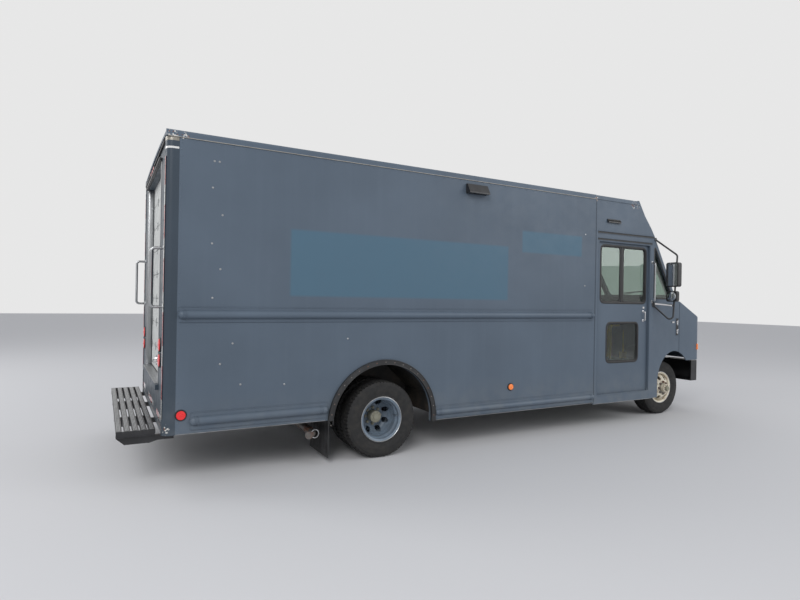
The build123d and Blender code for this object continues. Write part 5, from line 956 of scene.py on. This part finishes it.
# Rear header: black rain gutter and the roller cover's lower lip
header = bmesh.new()
add_box(header, (-3.510, -3.4835), (-0.80, 0.80), (2.704, 2.722), 0.003)
add_box(header, (-3.500, -3.4835), (-1.06, 1.06), (2.786, 2.800), 0.002)
add_piece("rear_header_gutter", header, BLACK_PAINT, "chassis")

# Roll-up door: pale guide edges, hinges on the slat joints, latch, lift handle and bottom seal
DOOR_FACE = -3.4285
SLAT = 1.960 / 8
guides = bmesh.new()
for sign in (-1, 1):
    add_box(guides, (-3.4836, -3.436), mirrored(sign, 0.716, 0.7295), (0.782, 2.698), 0.002)
    add_box(guides, (-3.488, -3.4842), mirrored(sign, 0.7305, 0.768), (0.782, 2.698), 0.0012, 1)
add_piece("rear_door_guides", guides, BRIGHT_UP, "chassis")
hinges = bmesh.new()
screws = []
for row in range(1, 8):
    z = 0.780 + row * SLAT
    for y in (-0.66, -0.22, 0.22, 0.66):
        add_box(hinges, (DOOR_FACE - 0.0035, DOOR_FACE), (y - 0.024, y + 0.024), (z - 0.040, z - 0.006),
                0.001, 1)
        add_box(hinges, (DOOR_FACE - 0.0035, DOOR_FACE), (y - 0.024, y + 0.024), (z + 0.006, z + 0.040),
                0.001, 1)
        add_tube(hinges, [(DOOR_FACE - 0.001, y - 0.024, z), (DOOR_FACE - 0.001, y + 0.024, z)], 0.0062,
                 sides=8)
        screws += [(DOOR_FACE - 0.0036, y + dy, z + dz) for dy in (-0.012, 0.012) for dz in (-0.026, 0.026)]
add_disc_row(hinges, screws, (-1, 0, 0), 0.0038, 0.0018, 8)
add_piece("rear_door_hinges", hinges, BRIGHT, "chassis")
latch = bmesh.new()
add_box(latch, (DOOR_FACE - 0.006, DOOR_FACE), (-0.075, 0.075), (0.855, 0.955), 0.003)
add_tube(latch, round_corners([(DOOR_FACE - 0.006, -0.050, 0.930), (DOOR_FACE - 0.040, -0.045, 0.925),
                               (DOOR_FACE - 0.040, 0.045, 0.885), (DOOR_FACE - 0.006, 0.050, 0.880)],
                               0.015), 0.0065, sides=10)
add_lathe(latch, [(0.013, 0.0), (0.013, -0.007), (0.010, -0.010), (0.0, -0.010)],
          (DOOR_FACE - 0.006, 0.0, 0.872), "X", 20)
add_piece("rear_door_latch", latch, CHROME, "chassis")
seal = bmesh.new()
add_tube(seal, [(DOOR_FACE + 0.004, -0.715, 0.7885), (DOOR_FACE + 0.004, 0.715, 0.7885)], 0.008, sides=10)
add_piece("rear_door_seal", seal, SEAL, "chassis")

# Threshold plate with raised studs
DOORWAY_HALF = 0.715
threshold = bmesh.new()
add_box(threshold, (-3.512, -3.431), (-DOORWAY_HALF, DOORWAY_HALF), (0.7802, 0.7835), 0.001, 1)
spots = [(x, y, 0.7836) for x in (-3.498, -3.473, -3.448) for y in steps_between(-0.69, 0.69, 0.046)]
add_disc_row(threshold, spots, (0, 0, 1), 0.006, 0.0016, 8)
add_piece("rear_threshold", threshold, BRIGHT, "chassis", weld=False)

# Rear step: pale grip strips with cross ribs on the slats, and round end rolls
STEP_REAR = -3.810
STEP_PITCH = 0.0592
grips = bmesh.new()
for index in range(5):
    x = STEP_REAR + index * STEP_PITCH
    for low in (0.007, 0.0165, 0.026):
        add_box(grips, (x + low, x + low + 0.005), (-1.125, 1.125), (0.480, 0.4832), 0.0009, 1)
add_piece("step_grips", grips, BRIGHT, "chassis")
rolls = bmesh.new()
for sign in (-1, 1):
    add_box(rolls, (STEP_REAR, -3.535), mirrored(sign, 1.128, 1.1398), (0.430, 0.4795), 0.004)
add_piece("step_end_rolls", rolls, BLACK_PAINT, "chassis")

# Flare clips, mud flap brackets and flap ribs
ARCH_Z = 0.380
FLARE_SCREW_ARC = 0.557
for side, sign in SIDES:
    clips = bmesh.new()
    spots = []
    for step in range(19):
        turn = math.pi * step / 18
        spots.append((REAR_AXLE + FLARE_SCREW_ARC * math.cos(turn), sign * 1.2052,
                      ARCH_Z + FLARE_SCREW_ARC * math.sin(turn)))
    add_disc_row(clips, spots, (0, sign, 0), 0.006, 0.0022, 10)
    add_piece("flare_screws_" + side, clips, STEEL, "chassis", weld=False)
    lip = bmesh.new()
    for radius, thick in ((0.5365, 0.0045), (0.5785, 0.0035)):
        arc = []
        for step in range(41):
            turn = math.pi * step / 40
            arc.append((REAR_AXLE + radius * math.cos(turn), sign * 1.2045,
                        ARCH_Z + radius * math.sin(turn)))
        add_tube(lip, arc, thick, sides=8)
    add_piece("flare_lips_" + side, lip, RUBBER, "chassis")
    ribs = bmesh.new()
    for y in steps_between(0.69, 1.10, 0.082):
        add_box(ribs, (-2.0685, -2.0662), mirrored(sign, (y - 0.006), (y + 0.006)), (0.10, 0.62), 0.0008, 1)
    add_box(ribs, (-2.0705, -2.0662), mirrored(sign, 0.66, 1.13), (0.690, 0.725), 0.001, 1)
    add_piece("flap_ribs_" + side, ribs, RUBBER, "chassis")

# Bright end of the exhaust pipe
tip = bmesh.new()
add_lathe(tip, [(0.0365, 0.0), (0.0395, 0.0), (0.0398, -0.060), (0.0375, -0.0612), (0.0340, -0.060),
                (0.0340, -0.002)],
          (-2.190, -1.070, 0.300), "Y", 32, closed=True)
add_piece("exhaust_tip", tip, BRIGHT, "chassis")

# Sliding doors: window gaskets, sash frames, mullion covers, pulls, lock and inner panels
DOOR_OUTER = 1.146
DOOR_INNER = 1.112
UPPER_X = (1.500, 2.350)
UPPER_Z = (1.550, 2.270)
LOWER_X = (1.620, 2.210)
LOWER_Z = (0.800, 1.300)
PANES = (((1.500, 1.883), UPPER_Z), ((1.911, 2.350), UPPER_Z), (LOWER_X, LOWER_Z))
HANDLE_X = 2.310
HANDLE_FEET = (1.324, 1.444)
FLAT_Y = {"flat_along": (0, 1, 0), "closed": True}
for side, sign in SIDES:
    body = "door_" + side
    gasket = bmesh.new()
    for x, z in ((UPPER_X, UPPER_Z), (LOWER_X, LOWER_Z)):
        for y in (DOOR_OUTER, DOOR_INNER):
            add_tube(gasket, window_ring(x, z, sign * y, 0.070), 0.0135, sides=10, flat=0.26, **FLAT_Y)
    add_piece("door_gasket_" + side, gasket, SEAL, body)
    sash = bmesh.new()
    for x, z in PANES:
        inset_x = (x[0] + 0.010, x[1] - 0.010)
        inset_z = (z[0] + 0.010, z[1] - 0.010)
        for y in (1.1352, 1.1228):
            add_tube(sash, window_ring(inset_x, inset_z, sign * y, 0.055), 0.0125, sides=8, flat=0.48,
                     **FLAT_Y)
    for y in ((1.1392, 1.1428), (1.1152, 1.1188)):
        add_box(sash, (1.879, 1.915), sorted((sign * y[0], sign * y[1])), (1.553, 2.267), 0.001, 1)
    add_box(sash, (1.905, 1.925), mirrored(sign, 1.113, 1.1185), (1.86, 1.94), 0.002)
    add_piece("door_sash_" + side, sash, SEAL, body)
    pulls = bmesh.new()
    for z in HANDLE_FEET:
        add_lathe(pulls, [(0.0, 0.0), (0.016, 0.0), (0.016, sign * 0.002), (0.012, sign * 0.0036),
                          (0.0072, sign * 0.0036)],
                  (HANDLE_X, sign * DOOR_OUTER, z), "Y", 24)
    add_lathe(pulls, [(0.0, 0.0), (0.017, 0.0), (0.017, sign * 0.004), (0.012, sign * 0.009),
                      (0.0, sign * 0.009)],
              (HANDLE_X, sign * DOOR_OUTER, 1.494), "Y", 24)
    add_box(pulls, (HANDLE_X - 0.0012, HANDLE_X + 0.0012), mirrored(sign, 1.1548, 1.1556), (1.488, 1.500),
            0.0003, 1)
    inner_pull = round_corners([(2.300, sign * DOOR_INNER, 1.345), (2.300, sign * 1.078, 1.345),
                                (2.300, sign * 1.078, 1.465), (2.300, sign * DOOR_INNER, 1.465)], 0.016)
    add_tube(pulls, inner_pull, 0.0075, sides=10)
    add_piece("door_pulls_" + side, pulls, CHROME, body)
    panels = bmesh.new()
    for z in ((0.430, 0.755), (1.345, 1.505)):
        add_box(panels, (1.450, 2.270), mirrored(sign, 1.1094, 1.1119), z, 0.0012, 1)
    add_piece("door_panels_" + side, panels, LINER, body)
    hems = bmesh.new()
    for x in (1.4225, 2.3885):
        add_box(hems, (x - 0.003, x + 0.003), mirrored(sign, 1.1462, 1.1478), (0.415, 2.305), 0.0006, 1)
    add_box(hems, (1.43, 2.385), mirrored(sign, 1.1462, 1.1478), (0.424, 0.430), 0.0006, 1)
    add_piece("door_hems_" + side, hems, BODY_PAINT, body)

# Folded trim round each door opening, and the two rain gutters over it: painted lips with a near-black
# strip under each, the strip a painted shadow under its lip
for side, sign in SIDES:
    trim = bmesh.new()
    ring = window_ring((1.423, 2.394), (0.406, 2.314), sign * 1.1802, 0.028)
    add_tube(trim, ring, 0.0065, sides=8, flat=0.42, **FLAT_Y)
    add_piece("door_trim_" + side, trim, BODY_PAINT, "chassis")
    painted_shade = bmesh.new()
    lips = bmesh.new()
    for low, high, front in ((2.409, 2.431, 2.467), (2.325, 2.346, 2.430)):
        run = [(1.404, sign * 1.1801), (2.41, sign * 1.1801), (front, side_y(front, sign) + sign * 0.0001)]
        run = run if sign < 0 else run[::-1]
        # Near-black strip under the lip: painted shadow
        add_strip(painted_shade, run, low, high, 0.0012)
        add_strip(lips, run, high, high + 0.004, 0.0105)
        add_strip(lips, run, low - 0.004, low, 0.0050)
    add_piece("door_gutter_" + side, painted_shade, SEAL, "chassis")
    add_piece("door_gutter_lips_" + side, lips, BODY_PAINT, "chassis")

# Quarter window and windshield gaskets
QUARTER = [(2.485, 1.620), (2.9615, 1.620), (2.512, 2.283), (2.485, 2.283)]
SCREEN_AT = Vector((2.7635, 0.0, 2.0225))
SCREEN_OUT = Vector((0.82764, 0.0, 0.56122))
SCREEN_UP = Vector((-0.56122, 0.0, 0.82764))


def on_screen(y, up, out):
    """A point on the windshield's outer plane, raised by out."""
    return SCREEN_AT + SCREEN_UP * up + SCREEN_OUT * out + Vector((0, y, 0))


for side, sign in SIDES:
    ring = bmesh.new()
    for inset in (0.0, 0.028):
        points = round_corners([(x, side_y(x, sign) - sign * inset, z) for x, z in QUARTER], 0.028,
                               closed=True)
        add_tube(ring, points, 0.0115, sides=10, flat=0.3, **FLAT_Y)
    add_piece("quarter_gasket_" + side, ring, SEAL, "chassis")
    ring = bmesh.new()
    centre = sign * 0.5204
    corners = [on_screen(centre + dy * 0.4855, up * 0.43, 0.0005)
               for dy, up in ((-1, -1), (1, -1), (1, 1), (-1, 1))]
    add_tube(ring, round_corners(corners, 0.06, closed=True), 0.013, closed=True, sides=10, flat=0.3,
             flat_along=tuple(SCREEN_OUT))
    add_piece("windshield_gasket_" + side, ring, SEAL, "chassis")

# Wipers parked low on the panes
for side, sign in SIDES:
    wiper = bmesh.new()
    pivot = Vector((3.082, sign * 0.14, 1.588))
    add_lathe(wiper, [(0.0, 0.0), (0.024, 0.0), (0.022, 0.014), (0.013, 0.022), (0.0, 0.022)], pivot, "Z",
              24)
    knee = on_screen(sign * 0.22, -0.440, 0.020)
    tip = on_screen(sign * 0.56, -0.352, -0.010)
    add_tube(wiper, [pivot + Vector((0, 0, 0.016)), knee, tip], 0.0055, sides=8)
    add_tube(wiper, [on_screen(sign * 0.30, -0.375, -0.014), on_screen(sign * 0.56, -0.352, -0.011),
                     on_screen(sign * 0.82, -0.329, -0.014)], 0.0048, sides=8)
    add_tube(wiper, [on_screen(sign * 0.27, -0.3785, -0.0235), on_screen(sign * 0.85, -0.3275, -0.0235)],
             0.0050, sides=6)
    add_piece("wiper_" + side, wiper, BLACK_PAINT, "chassis")

# Mirrors: glass in rubber rims, bright sleeves on the lower stays and flanges at the feet
MIRROR_Y = 1.330
DOOR_BAR_X = 2.436
for side, sign in SIDES:
    plate = bmesh.new()
    add_box(plate, (2.6255, 2.6281), (sign * MIRROR_Y - 0.0775, sign * MIRROR_Y + 0.0775), (1.785, 2.085),
            0.001, 1)
    add_lathe(plate, [(0.0, -0.0085), (0.030, -0.0070), (0.055, -0.0035), (0.0625, -0.0003),
                      (0.0, -0.0003)],
              (2.6193, sign * MIRROR_Y, 1.650), "X", 36)
    add_piece("mirror_glass_" + side, plate, MIRROR, "chassis")
    rim = bmesh.new()
    corners = [(2.627, sign * MIRROR_Y + dy * 0.0785, z)
               for dy, z in ((-1, 1.784), (1, 1.784), (1, 2.086), (-1, 2.086))]
    add_tube(rim, round_corners(corners, 0.015, closed=True), 0.0042, closed=True, sides=8)
    add_lathe(rim, [(0.0630, 0.0), (0.0690, 0.0), (0.0680, -0.004), (0.0640, -0.004)],
              (2.6191, sign * MIRROR_Y, 1.650),
              "X", 36, closed=True)
    add_piece("mirror_rim_" + side, rim, SEAL, "chassis")
    sleeve = bmesh.new()
    foot = Vector((2.473, sign * 1.1731, 1.548))
    reach = Vector((2.6771, sign * MIRROR_Y, 1.528))
    add_tube(sleeve, [foot.lerp(reach, 0.10), foot.lerp(reach, 0.86)], 0.0135, sides=14)
    for share in (0.10, 0.86):
        spot = foot.lerp(reach, share)
        add_tube(sleeve, [spot - (reach - foot) * 0.035, spot + (reach - foot) * 0.035], 0.0175, sides=14)
    add_lathe(sleeve, [(0.0, 0.0), (0.020, 0.0), (0.020, 0.022), (0.0, 0.022)],
              (2.6610, sign * MIRROR_Y, 1.300), "Z", 20)
    add_piece("mirror_sleeve_" + side, sleeve, CHROME, "chassis")
    flange = bmesh.new()
    for z in (1.575, 2.090):
        y = side_y(DOOR_BAR_X, sign)
        add_lathe(flange, [(0.0, 0.0), (0.021, 0.0), (0.020, sign * 0.004), (0.0105, sign * 0.005)],
                  (DOOR_BAR_X, y, z), "Y", 24)
        add_disc_row(flange, [(DOOR_BAR_X, y + sign * 0.004, z - 0.015),
                              (DOOR_BAR_X, y + sign * 0.004, z + 0.015)],
                     (0, sign, 0), 0.0035, 0.002, 8)
    add_piece("door_bar_flanges_" + side, flange, BRIGHT_UP, "chassis")
    feet = bmesh.new()
    for z in (1.450, 1.930):
        add_lathe(feet, [(0.0, 0.0), (0.027, 0.0), (0.026, -0.005), (0.0125, -0.007)],
                  (-3.484, sign * 1.030, z), "X", 24)
        add_disc_row(feet, [(-3.489, sign * 1.030, z + dz) for dz in (-0.020, 0.020)], (-1, 0, 0), 0.004,
                     0.002, 8)
    add_piece("rear_grab_feet_" + side, feet, BRIGHT_UP, "chassis")

# Hood latches in a shallow framed recess behind the hood seam; the near-black panel inside the frame is
# painted shade in the recess
TAPER_TURN = math.atan2(0.08, HOOD_SEAM - TAPER_START)
for side, sign in SIDES:
    turn = Matrix.Rotation(-sign * TAPER_TURN, 4, "Z")
    frame_bm = bmesh.new()
    painted_shade = bmesh.new()
    bright = bmesh.new()
    middle = side_y(3.078, sign)
    for x, z in (((3.0435, 3.0475), (1.115, 1.355)), ((3.1085, 3.1125), (1.115, 1.355)),
                 ((3.0475, 3.1085), (1.115, 1.119)), ((3.0475, 3.1085), (1.351, 1.355))):
        y = side_y(sum(x) / 2, sign)
        add_box(frame_bm, x, sorted((y + sign * 0.0002, y + sign * 0.0042)), z, 0.001, 1, turn)
    # Near-black panel in the recess: painted shade
    add_box(painted_shade, (3.048, 3.108), sorted((middle + sign * 0.0003, middle + sign * 0.0015)), (1.119, 1.351),
            0.0004, 1, turn)
    for z in (1.170, 1.290):
        add_box(bright, (3.060, 3.096), sorted((middle + sign * 0.0012, middle + sign * 0.009)),
                (z - 0.022, z + 0.030),
                0.002, 2, turn)
        add_tube(bright, [(3.078, middle + sign * 0.010, z - 0.034),
                          (3.078, middle + sign * 0.014, z + 0.034)], 0.0055, sides=10)
        add_tube(bright, [(3.064, middle + sign * 0.012, z + 0.030),
                          (3.092, middle + sign * 0.012, z + 0.030)], 0.0050, sides=10)
    add_piece("hood_latch_frame_" + side, frame_bm, BODY_PAINT, "chassis")
    add_piece("hood_latch_shade_panel_" + side, painted_shade, SEAL, "chassis")
    add_piece("hood_latches_" + side, bright, CHROME, "chassis")
seam = bmesh.new()
for sign in (-1, 1):
    add_box(seam, (3.1322, 3.1362), mirrored(sign, 1.074, 1.0975), (0.93, 1.566), 0.001, 1)
add_box(seam, (3.1322, 3.1362), (-1.066, 1.066), (1.566, 1.582), 0.001, 1)
add_piece("hood_seam_rubber", seam, SEAL, "chassis")

# Headlamps: bezels, reflector bowls behind the glass and fine ribs on it
for side, sign in SIDES:
    bezel = bmesh.new()
    corners = [(3.6995, sign * 0.720 + dy * 0.127, z)
               for dy, z in ((-1, 0.973), (1, 0.973), (1, 1.147), (-1, 1.147))]
    add_tube(bezel, round_corners(corners, 0.032, closed=True), 0.0095, closed=True, sides=10, flat=0.6,
             flat_along=(1, 0, 0))
    add_piece("headlamp_bezel_" + side, bezel, CHROME, "hood")
    bowls = bmesh.new()
    add_box(bowls, (3.626, 3.6372), (sign * 0.720 - 0.120, sign * 0.720 + 0.120), (0.980, 1.140), 0.004)
    for dy in (-0.060, 0.060):
        add_lathe(bowls, [(0.052, 0.0375), (0.040, 0.024), (0.020, 0.013), (0.0, 0.010)],
                  (3.6275, sign * 0.720 + dy, 1.060),
                  "X", 32)
    add_piece("headlamp_bowls_" + side, bowls, MIRROR, "hood")
    ribs = bmesh.new()
    for y in steps_between(-0.108, 0.108, 0.012):
        add_box(ribs, (3.6978, 3.7002), (sign * 0.720 + y - 0.0022, sign * 0.720 + y + 0.0022),
                (0.992, 1.128), 0.0008, 1)
    add_piece("headlamp_ribs_" + side, ribs, LAMP_GLASS, "hood")
grille = bmesh.new()
corners = [(3.7205, dy * 0.4285, z) for dy, z in ((-1, 0.9015), (1, 0.9015), (1, 1.2185), (-1, 1.2185))]
add_tube(grille, round_corners(corners, 0.012, closed=True), 0.0055, closed=True, sides=8)
add_piece("grille_edge", grille, CHROME, "hood")
mesh_bm = bmesh.new()
for y in steps_between(-0.395, 0.395, 0.022):
    add_box(mesh_bm, (3.6838, 3.6862), (y - 0.0012, y + 0.0012), (0.927, 1.193), 0.0003, 1)
add_piece("grille_mesh", mesh_bm, BLACK_PAINT, "hood")

# Bumper: bolts on the face and step pads
bumper = bmesh.new()
for y in (-0.44, -0.40, 0.40, 0.44):
    for z in (0.52, 0.66):
        add_nut(bumper, (3.8102, y, z), (-1, 0, 0), 0.011, 0.007)
add_piece("bumper_bolt_backs", bumper, STEEL, "chassis", weld=False)
pads = bmesh.new()
for sign in (-1, 1):
    add_box(pads, (3.665, 3.790), mirrored(sign, 0.56, 0.90), (0.7352, 0.7392), 0.001, 1)
    spots = [(x, sign * y, 0.7392) for x in (3.69, 3.72, 3.75) for y in steps_between(0.58, 0.88, 0.03)]
    add_disc_row(pads, spots, (0, 0, 1), 0.006, 0.0018, 8)
add_piece("bumper_step_pads", pads, RUBBER, "chassis", weld=False)

# Slats in the side hoods' open faces
slats = bmesh.new()
for sign in (-1, 1):
    for z in (2.556, 2.566, 2.576):
        add_box(slats, (1.567, 1.786), mirrored(sign, 1.1802, 1.2045), (z, z + 0.0016), 0.0003, 1)
add_piece("side_hood_slats", slats, SEAL, "chassis")
# Driver's seat: two vinyl pads blown up from slightly small closed shapes
PAD_VOXEL = 0.008
PAD_PRESSURE = 4.0
PAD_FRAMES = 20
SEAT_Y = (0.245, 0.715)


def pad_shell(x_low, x_high, y, z, round_off):
    """A closed six-sided form; x_low and x_high each give the values at its foot and at its head."""
    bm = bmesh.new()
    rings = []
    for level, height in enumerate(z):
        corners = ((x_low[level], y[0]), (x_high[level], y[0]), (x_high[level], y[1]), (x_low[level], y[1]))
        rings.append([bm.verts.new((*corner, height)) for corner in corners])
    bm.faces.new(rings[0][::-1])
    bm.faces.new(rings[1])
    for index in range(4):
        after = (index + 1) % 4
        bm.faces.new((rings[0][index], rings[0][after], rings[1][after], rings[1][index]))
    bmesh.ops.bevel(bm, geom=list(bm.edges), offset=round_off, segments=4, profile=0.5, affect="EDGES")
    return bm


def evaluated(piece):
    """The mesh of a piece with its modifiers applied."""
    graph = bpy.context.evaluated_depsgraph_get()
    return bpy.data.meshes.new_from_object(piece.evaluated_get(graph))


def blown_up(mesh, cap):
    """The mesh swollen by cloth pressure, with no point moved by more than cap."""
    piece = bpy.data.objects.new("pad_work", mesh)
    bpy.context.scene.collection.objects.link(piece)
    piece.modifiers.new("voxels", "REMESH").voxel_size = PAD_VOXEL
    base = evaluated(piece)
    piece.modifiers.clear()
    piece.data = base
    cloth = piece.modifiers.new("swell", "CLOTH")
    cloth.settings.use_pressure = True
    cloth.settings.uniform_pressure_force = PAD_PRESSURE
    cloth.settings.effector_weights.gravity = 0.0
    for frame_number in range(1, PAD_FRAMES + 1):
        bpy.context.scene.frame_set(frame_number)
    swollen = evaluated(piece)
    for old, new in zip(base.vertices, swollen.vertices):
        shift = new.co - old.co
        if shift.length > cap:
            shift *= cap / shift.length
        old.co = old.co + shift
    piece.modifiers.clear()
    bpy.context.scene.frame_set(1)
    finer = piece.modifiers.new("finer", "SUBSURF")
    finer.levels = 1
    finer.render_levels = 1
    made = evaluated(piece)
    bpy.data.objects.remove(piece)
    return made


def pad_piece(name, shell, cap, limit, channels, front):
    """A seat pad: swollen, kept within its place, with sewn channels across its front face."""
    mesh = bpy.data.meshes.new(name)
    bmesh.ops.recalc_face_normals(shell, faces=shell.faces)
    shell.to_mesh(mesh)
    shell.free()
    mesh = blown_up(mesh, cap)
    front = Vector(front)
    normals = [vertex.normal.copy() for vertex in mesh.vertices]
    for vertex, normal in zip(mesh.vertices, normals):
        facing = max(0.0, normal.dot(front))
        depth = sum(math.exp(-((vertex.co.y - y) / 0.006) ** 2) for y in channels)
        vertex.co -= front * (0.006 * facing * depth)
        vertex.co = limit(vertex.co)
    bm = bmesh.new()
    bm.from_mesh(mesh)
    piece = add_piece(name, bm, VINYL, "chassis")
    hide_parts("driver_seat")
    return piece


def over_base(point):
    """The cushion rests flat on its pan, and its back strip stays under the back pad."""
    high = 1.2290 if point.x < 2.075 else 1.275
    return Vector((point.x, point.y, min(max(point.z, 1.1308), high)))


def over_cushion(point):
    return Vector((point.x, point.y, max(point.z, 1.2320)))


seat_channels = steps_between(SEAT_Y[0] + 0.095, SEAT_Y[1] - 0.095, 0.070)
cushion = pad_piece("seat_cushion", pad_shell((1.980, 1.980), (2.398, 2.398), (0.262, 0.698),
                                              (1.138, 1.222), 0.028),
                    0.024, over_base, seat_channels, (0, 0, 1))
backrest = pad_piece("seat_back", pad_shell((1.976, 1.914), (2.052, 1.986), (0.270, 0.690), (1.246, 1.785),
                                            0.028),
                     0.024, over_cushion, seat_channels, (0.9925, 0, 0.122))
piping = bmesh.new()
for pad, spots in ((cushion, [(1.972, 0.254, 1.222), (2.406, 0.254, 1.222), (2.406, 0.706, 1.222),
                              (1.972, 0.706, 1.222)]),
                   (backrest, [(2.052, 0.262, 1.250), (1.986, 0.262, 1.790), (1.986, 0.698, 1.790),
                               (2.052, 0.698, 1.250)])):
    loop = round_corners(spots, 0.045, closed=True, steps=8)
    dense = []
    for index, point in enumerate(loop):
        after = loop[(index + 1) % len(loop)]
        count = max(1, int((after - point).length / 0.02))
        dense += [point.lerp(after, step / count) for step in range(count)]
    seated = []
    for point in dense:
        found, spot, normal, _ = pad.closest_point_on_mesh(point)
        seated.append(spot + normal * 0.0015 if found else point)
    add_tube(piping, seated, 0.0042, closed=True, sides=8)
add_piece("seat_piping", piping, SEAL, "chassis")

# Steering wheel: horn pad in the middle
WHEEL_AT = Vector((2.573, 0.480, 1.400))
TILT = math.radians(38)
TOWARDS_DRIVER = Vector((-math.cos(TILT), 0, math.sin(TILT)))
horn = bmesh.new()
add_ring_surface(horn, [(0.052, 0.0120), (0.050, 0.0185), (0.036, 0.0235), (0.034, 0.0220), (0.0, 0.0240)],
                 WHEEL_AT,
                 TOWARDS_DRIVER, Vector((0, 1, 0)), 40, False)
add_piece("horn_pad", horn, SEAL, "steering_wheel")

# Dashboard: hooded gauges, vents, switches, glove lid and a padded top roll
DASH_SLOPE = Vector((-0.970, 0, -0.243))
GAUGE_Z = 1.556
binnacle = bmesh.new()
add_box(binnacle, (2.905, 3.010), (0.300, 0.660), (1.5125, 1.600), 0.014, 3)
add_piece("gauge_hood", binnacle, DASH, "chassis")
faces = bmesh.new()
rims = bmesh.new()
needles = bmesh.new()
for y, radius in ((0.395, 0.036), (0.480, 0.036), (0.560, 0.024), (0.618, 0.024)):
    add_lathe(faces, [(radius, -0.0012), (0.0, -0.0012)], (2.9048, y, GAUGE_Z), "X", 32)
    add_lathe(rims, [(radius, 0.0), (radius + 0.003, 0.0), (radius + 0.002, -0.004), (radius, -0.004)],
              (2.9048, y, GAUGE_Z),
              "X", 32, closed=True)
    for step in range(9):
        turn = math.radians(-45 + step * 33.75)
        at = Vector((2.9034, y + math.cos(turn) * radius * 0.82, GAUGE_Z + math.sin(turn) * radius * 0.82))
        add_box(needles, (at.x - 0.0006, at.x), (at.y - 0.0013, at.y + 0.0013),
                (at.z - 0.0013, at.z + 0.0013))
    add_tube(needles, [(2.9031, y, GAUGE_Z), (2.9031, y - radius * 0.5, GAUGE_Z + radius * 0.45)], 0.0011,
             sides=6)
add_piece("gauge_faces", faces, SEAL, "chassis")
add_piece("gauge_rims", rims, CHROME, "chassis")
add_piece("gauge_needles", needles, WHITE_TAPE, "chassis")
fittings = bmesh.new()
knobs = bmesh.new()
for y in (-0.78, -0.25, 0.12, 0.86):
    for rise in (0.0, 0.014, 0.028, 0.042):
        at = Vector((2.8665, y, 1.445)) + Vector((0.243, 0, -0.970)) * rise
        add_box(fittings, (at.x - 0.007, at.x + 0.002), (y - 0.055, y + 0.055),
                (at.z - 0.003, at.z + 0.003), 0.001, 1)
for y in steps_between(-0.10, 0.06, 0.04):
    add_ring_surface(knobs, [(0.008, -0.001), (0.009, 0.010), (0.006, 0.014), (0.0, 0.014)],
                     Vector((2.886, y, 1.364)),
                     DASH_SLOPE, Vector((0, 1, 0)), 16, False)
add_box(fittings, (2.868, 2.874), (-0.68, -0.34), (1.345, 1.435), 0.002)
add_tube(fittings, [(2.917, -1.05, 1.5135), (2.917, 1.05, 1.5135)], 0.009, sides=10)
add_piece("dash_fittings", fittings, SEAL, "chassis")
add_piece("dash_knobs", knobs, CHROME, "chassis")

# Pedals hung from the firewall, and the gear lever on the engine cover
pedals = bmesh.new()
for y in (0.440, 0.545):
    add_tube(pedals, round_corners([(2.785, y, 1.015), (2.870, y, 1.120), (2.960, y, 1.298)], 0.05), 0.0085,
             sides=8)
    add_box(pedals, (2.762, 2.778), (y - 0.034, y + 0.034), (0.975, 1.050), 0.004, 2,
            Matrix.Rotation(0.35, 4, "Y"))
add_piece("pedals", pedals, BLACK_PAINT, "chassis")
lever = bmesh.new()
add_lathe(lever, [(0.055, 0.0), (0.052, 0.012), (0.040, 0.030), (0.034, 0.032), (0.028, 0.052),
                  (0.016, 0.066), (0.0, 0.067)],
          (2.860, 0.170, 1.2425), "Z", 28)
add_piece("gear_boot", lever, RUBBER, "chassis")
lever = bmesh.new()
add_tube(lever, round_corners([(2.860, 0.170, 1.300), (2.850, 0.175, 1.420), (2.760, 0.210, 1.530)], 0.06),
         0.0075, sides=10)
add_lathe(lever, [(0.010, -0.002), (0.022, 0.012), (0.024, 0.024), (0.018, 0.038), (0.0, 0.044)],
          (2.757, 0.211, 1.520), "Z", 24)
add_piece("gear_lever", lever, BLACK_PAINT, "chassis")

# Extinguisher beside the engine cover, plain and unmarked
EXTINGUISHER_RED = matt("extinguisher_red", linear(120, 24, 22), 0.35, 200.0, 0.05)
bottle = bmesh.new()
add_lathe(bottle, [(0.0, 0.0), (0.048, 0.0), (0.055, 0.008), (0.055, 0.270), (0.044, 0.305), (0.018, 0.322),
                   (0.016, 0.338),
                   (0.0, 0.338)], (2.520, -0.430, 0.7808), "Z", 36)
add_piece("extinguisher", bottle, EXTINGUISHER_RED, "chassis")
valve = bmesh.new()
add_lathe(valve, [(0.0, 0.0), (0.020, 0.0), (0.020, 0.028), (0.0, 0.028)], (2.520, -0.430, 1.1190), "Z", 20)
add_box(valve, (2.470, 2.575), (-0.440, -0.420), (1.147, 1.156), 0.002)
add_box(valve, (2.480, 2.575), (-0.440, -0.420), (1.163, 1.171), 0.002)
add_tube(valve, round_corners([(2.500, -0.430, 1.133), (2.450, -0.430, 1.120), (2.452, -0.430, 0.900)],
                              0.03), 0.008, sides=10)
add_piece("extinguisher_valve", valve, BLACK_PAINT, "chassis")

# Load space: posts on the walls, bows under the roof, tread strips on the floor
ribs = bmesh.new()
for x in steps_between(-3.20, 0.40, 0.60):
    for sign in (-1, 1):
        add_box(ribs, (x - 0.02, x + 0.02), mirrored(sign, 1.1515, 1.128), (0.930, 2.760), 0.003, 1)
for x in steps_between(-3.20, 1.15, 0.435):
    add_box(ribs, (x - 0.02, x + 0.02), (-1.080, 1.080), (2.8125, 2.8325), 0.003, 1)
add_piece("load_space_ribs", ribs, LINER, "chassis")
strips = bmesh.new()
for y in steps_between(-0.56, 0.56, 0.08):
    add_box(strips, (-3.36, 1.34), (y - 0.012, y + 0.012), (0.7802, 0.7822), 0.0006, 1)
add_piece("floor_strips", strips, STEEL, "chassis")
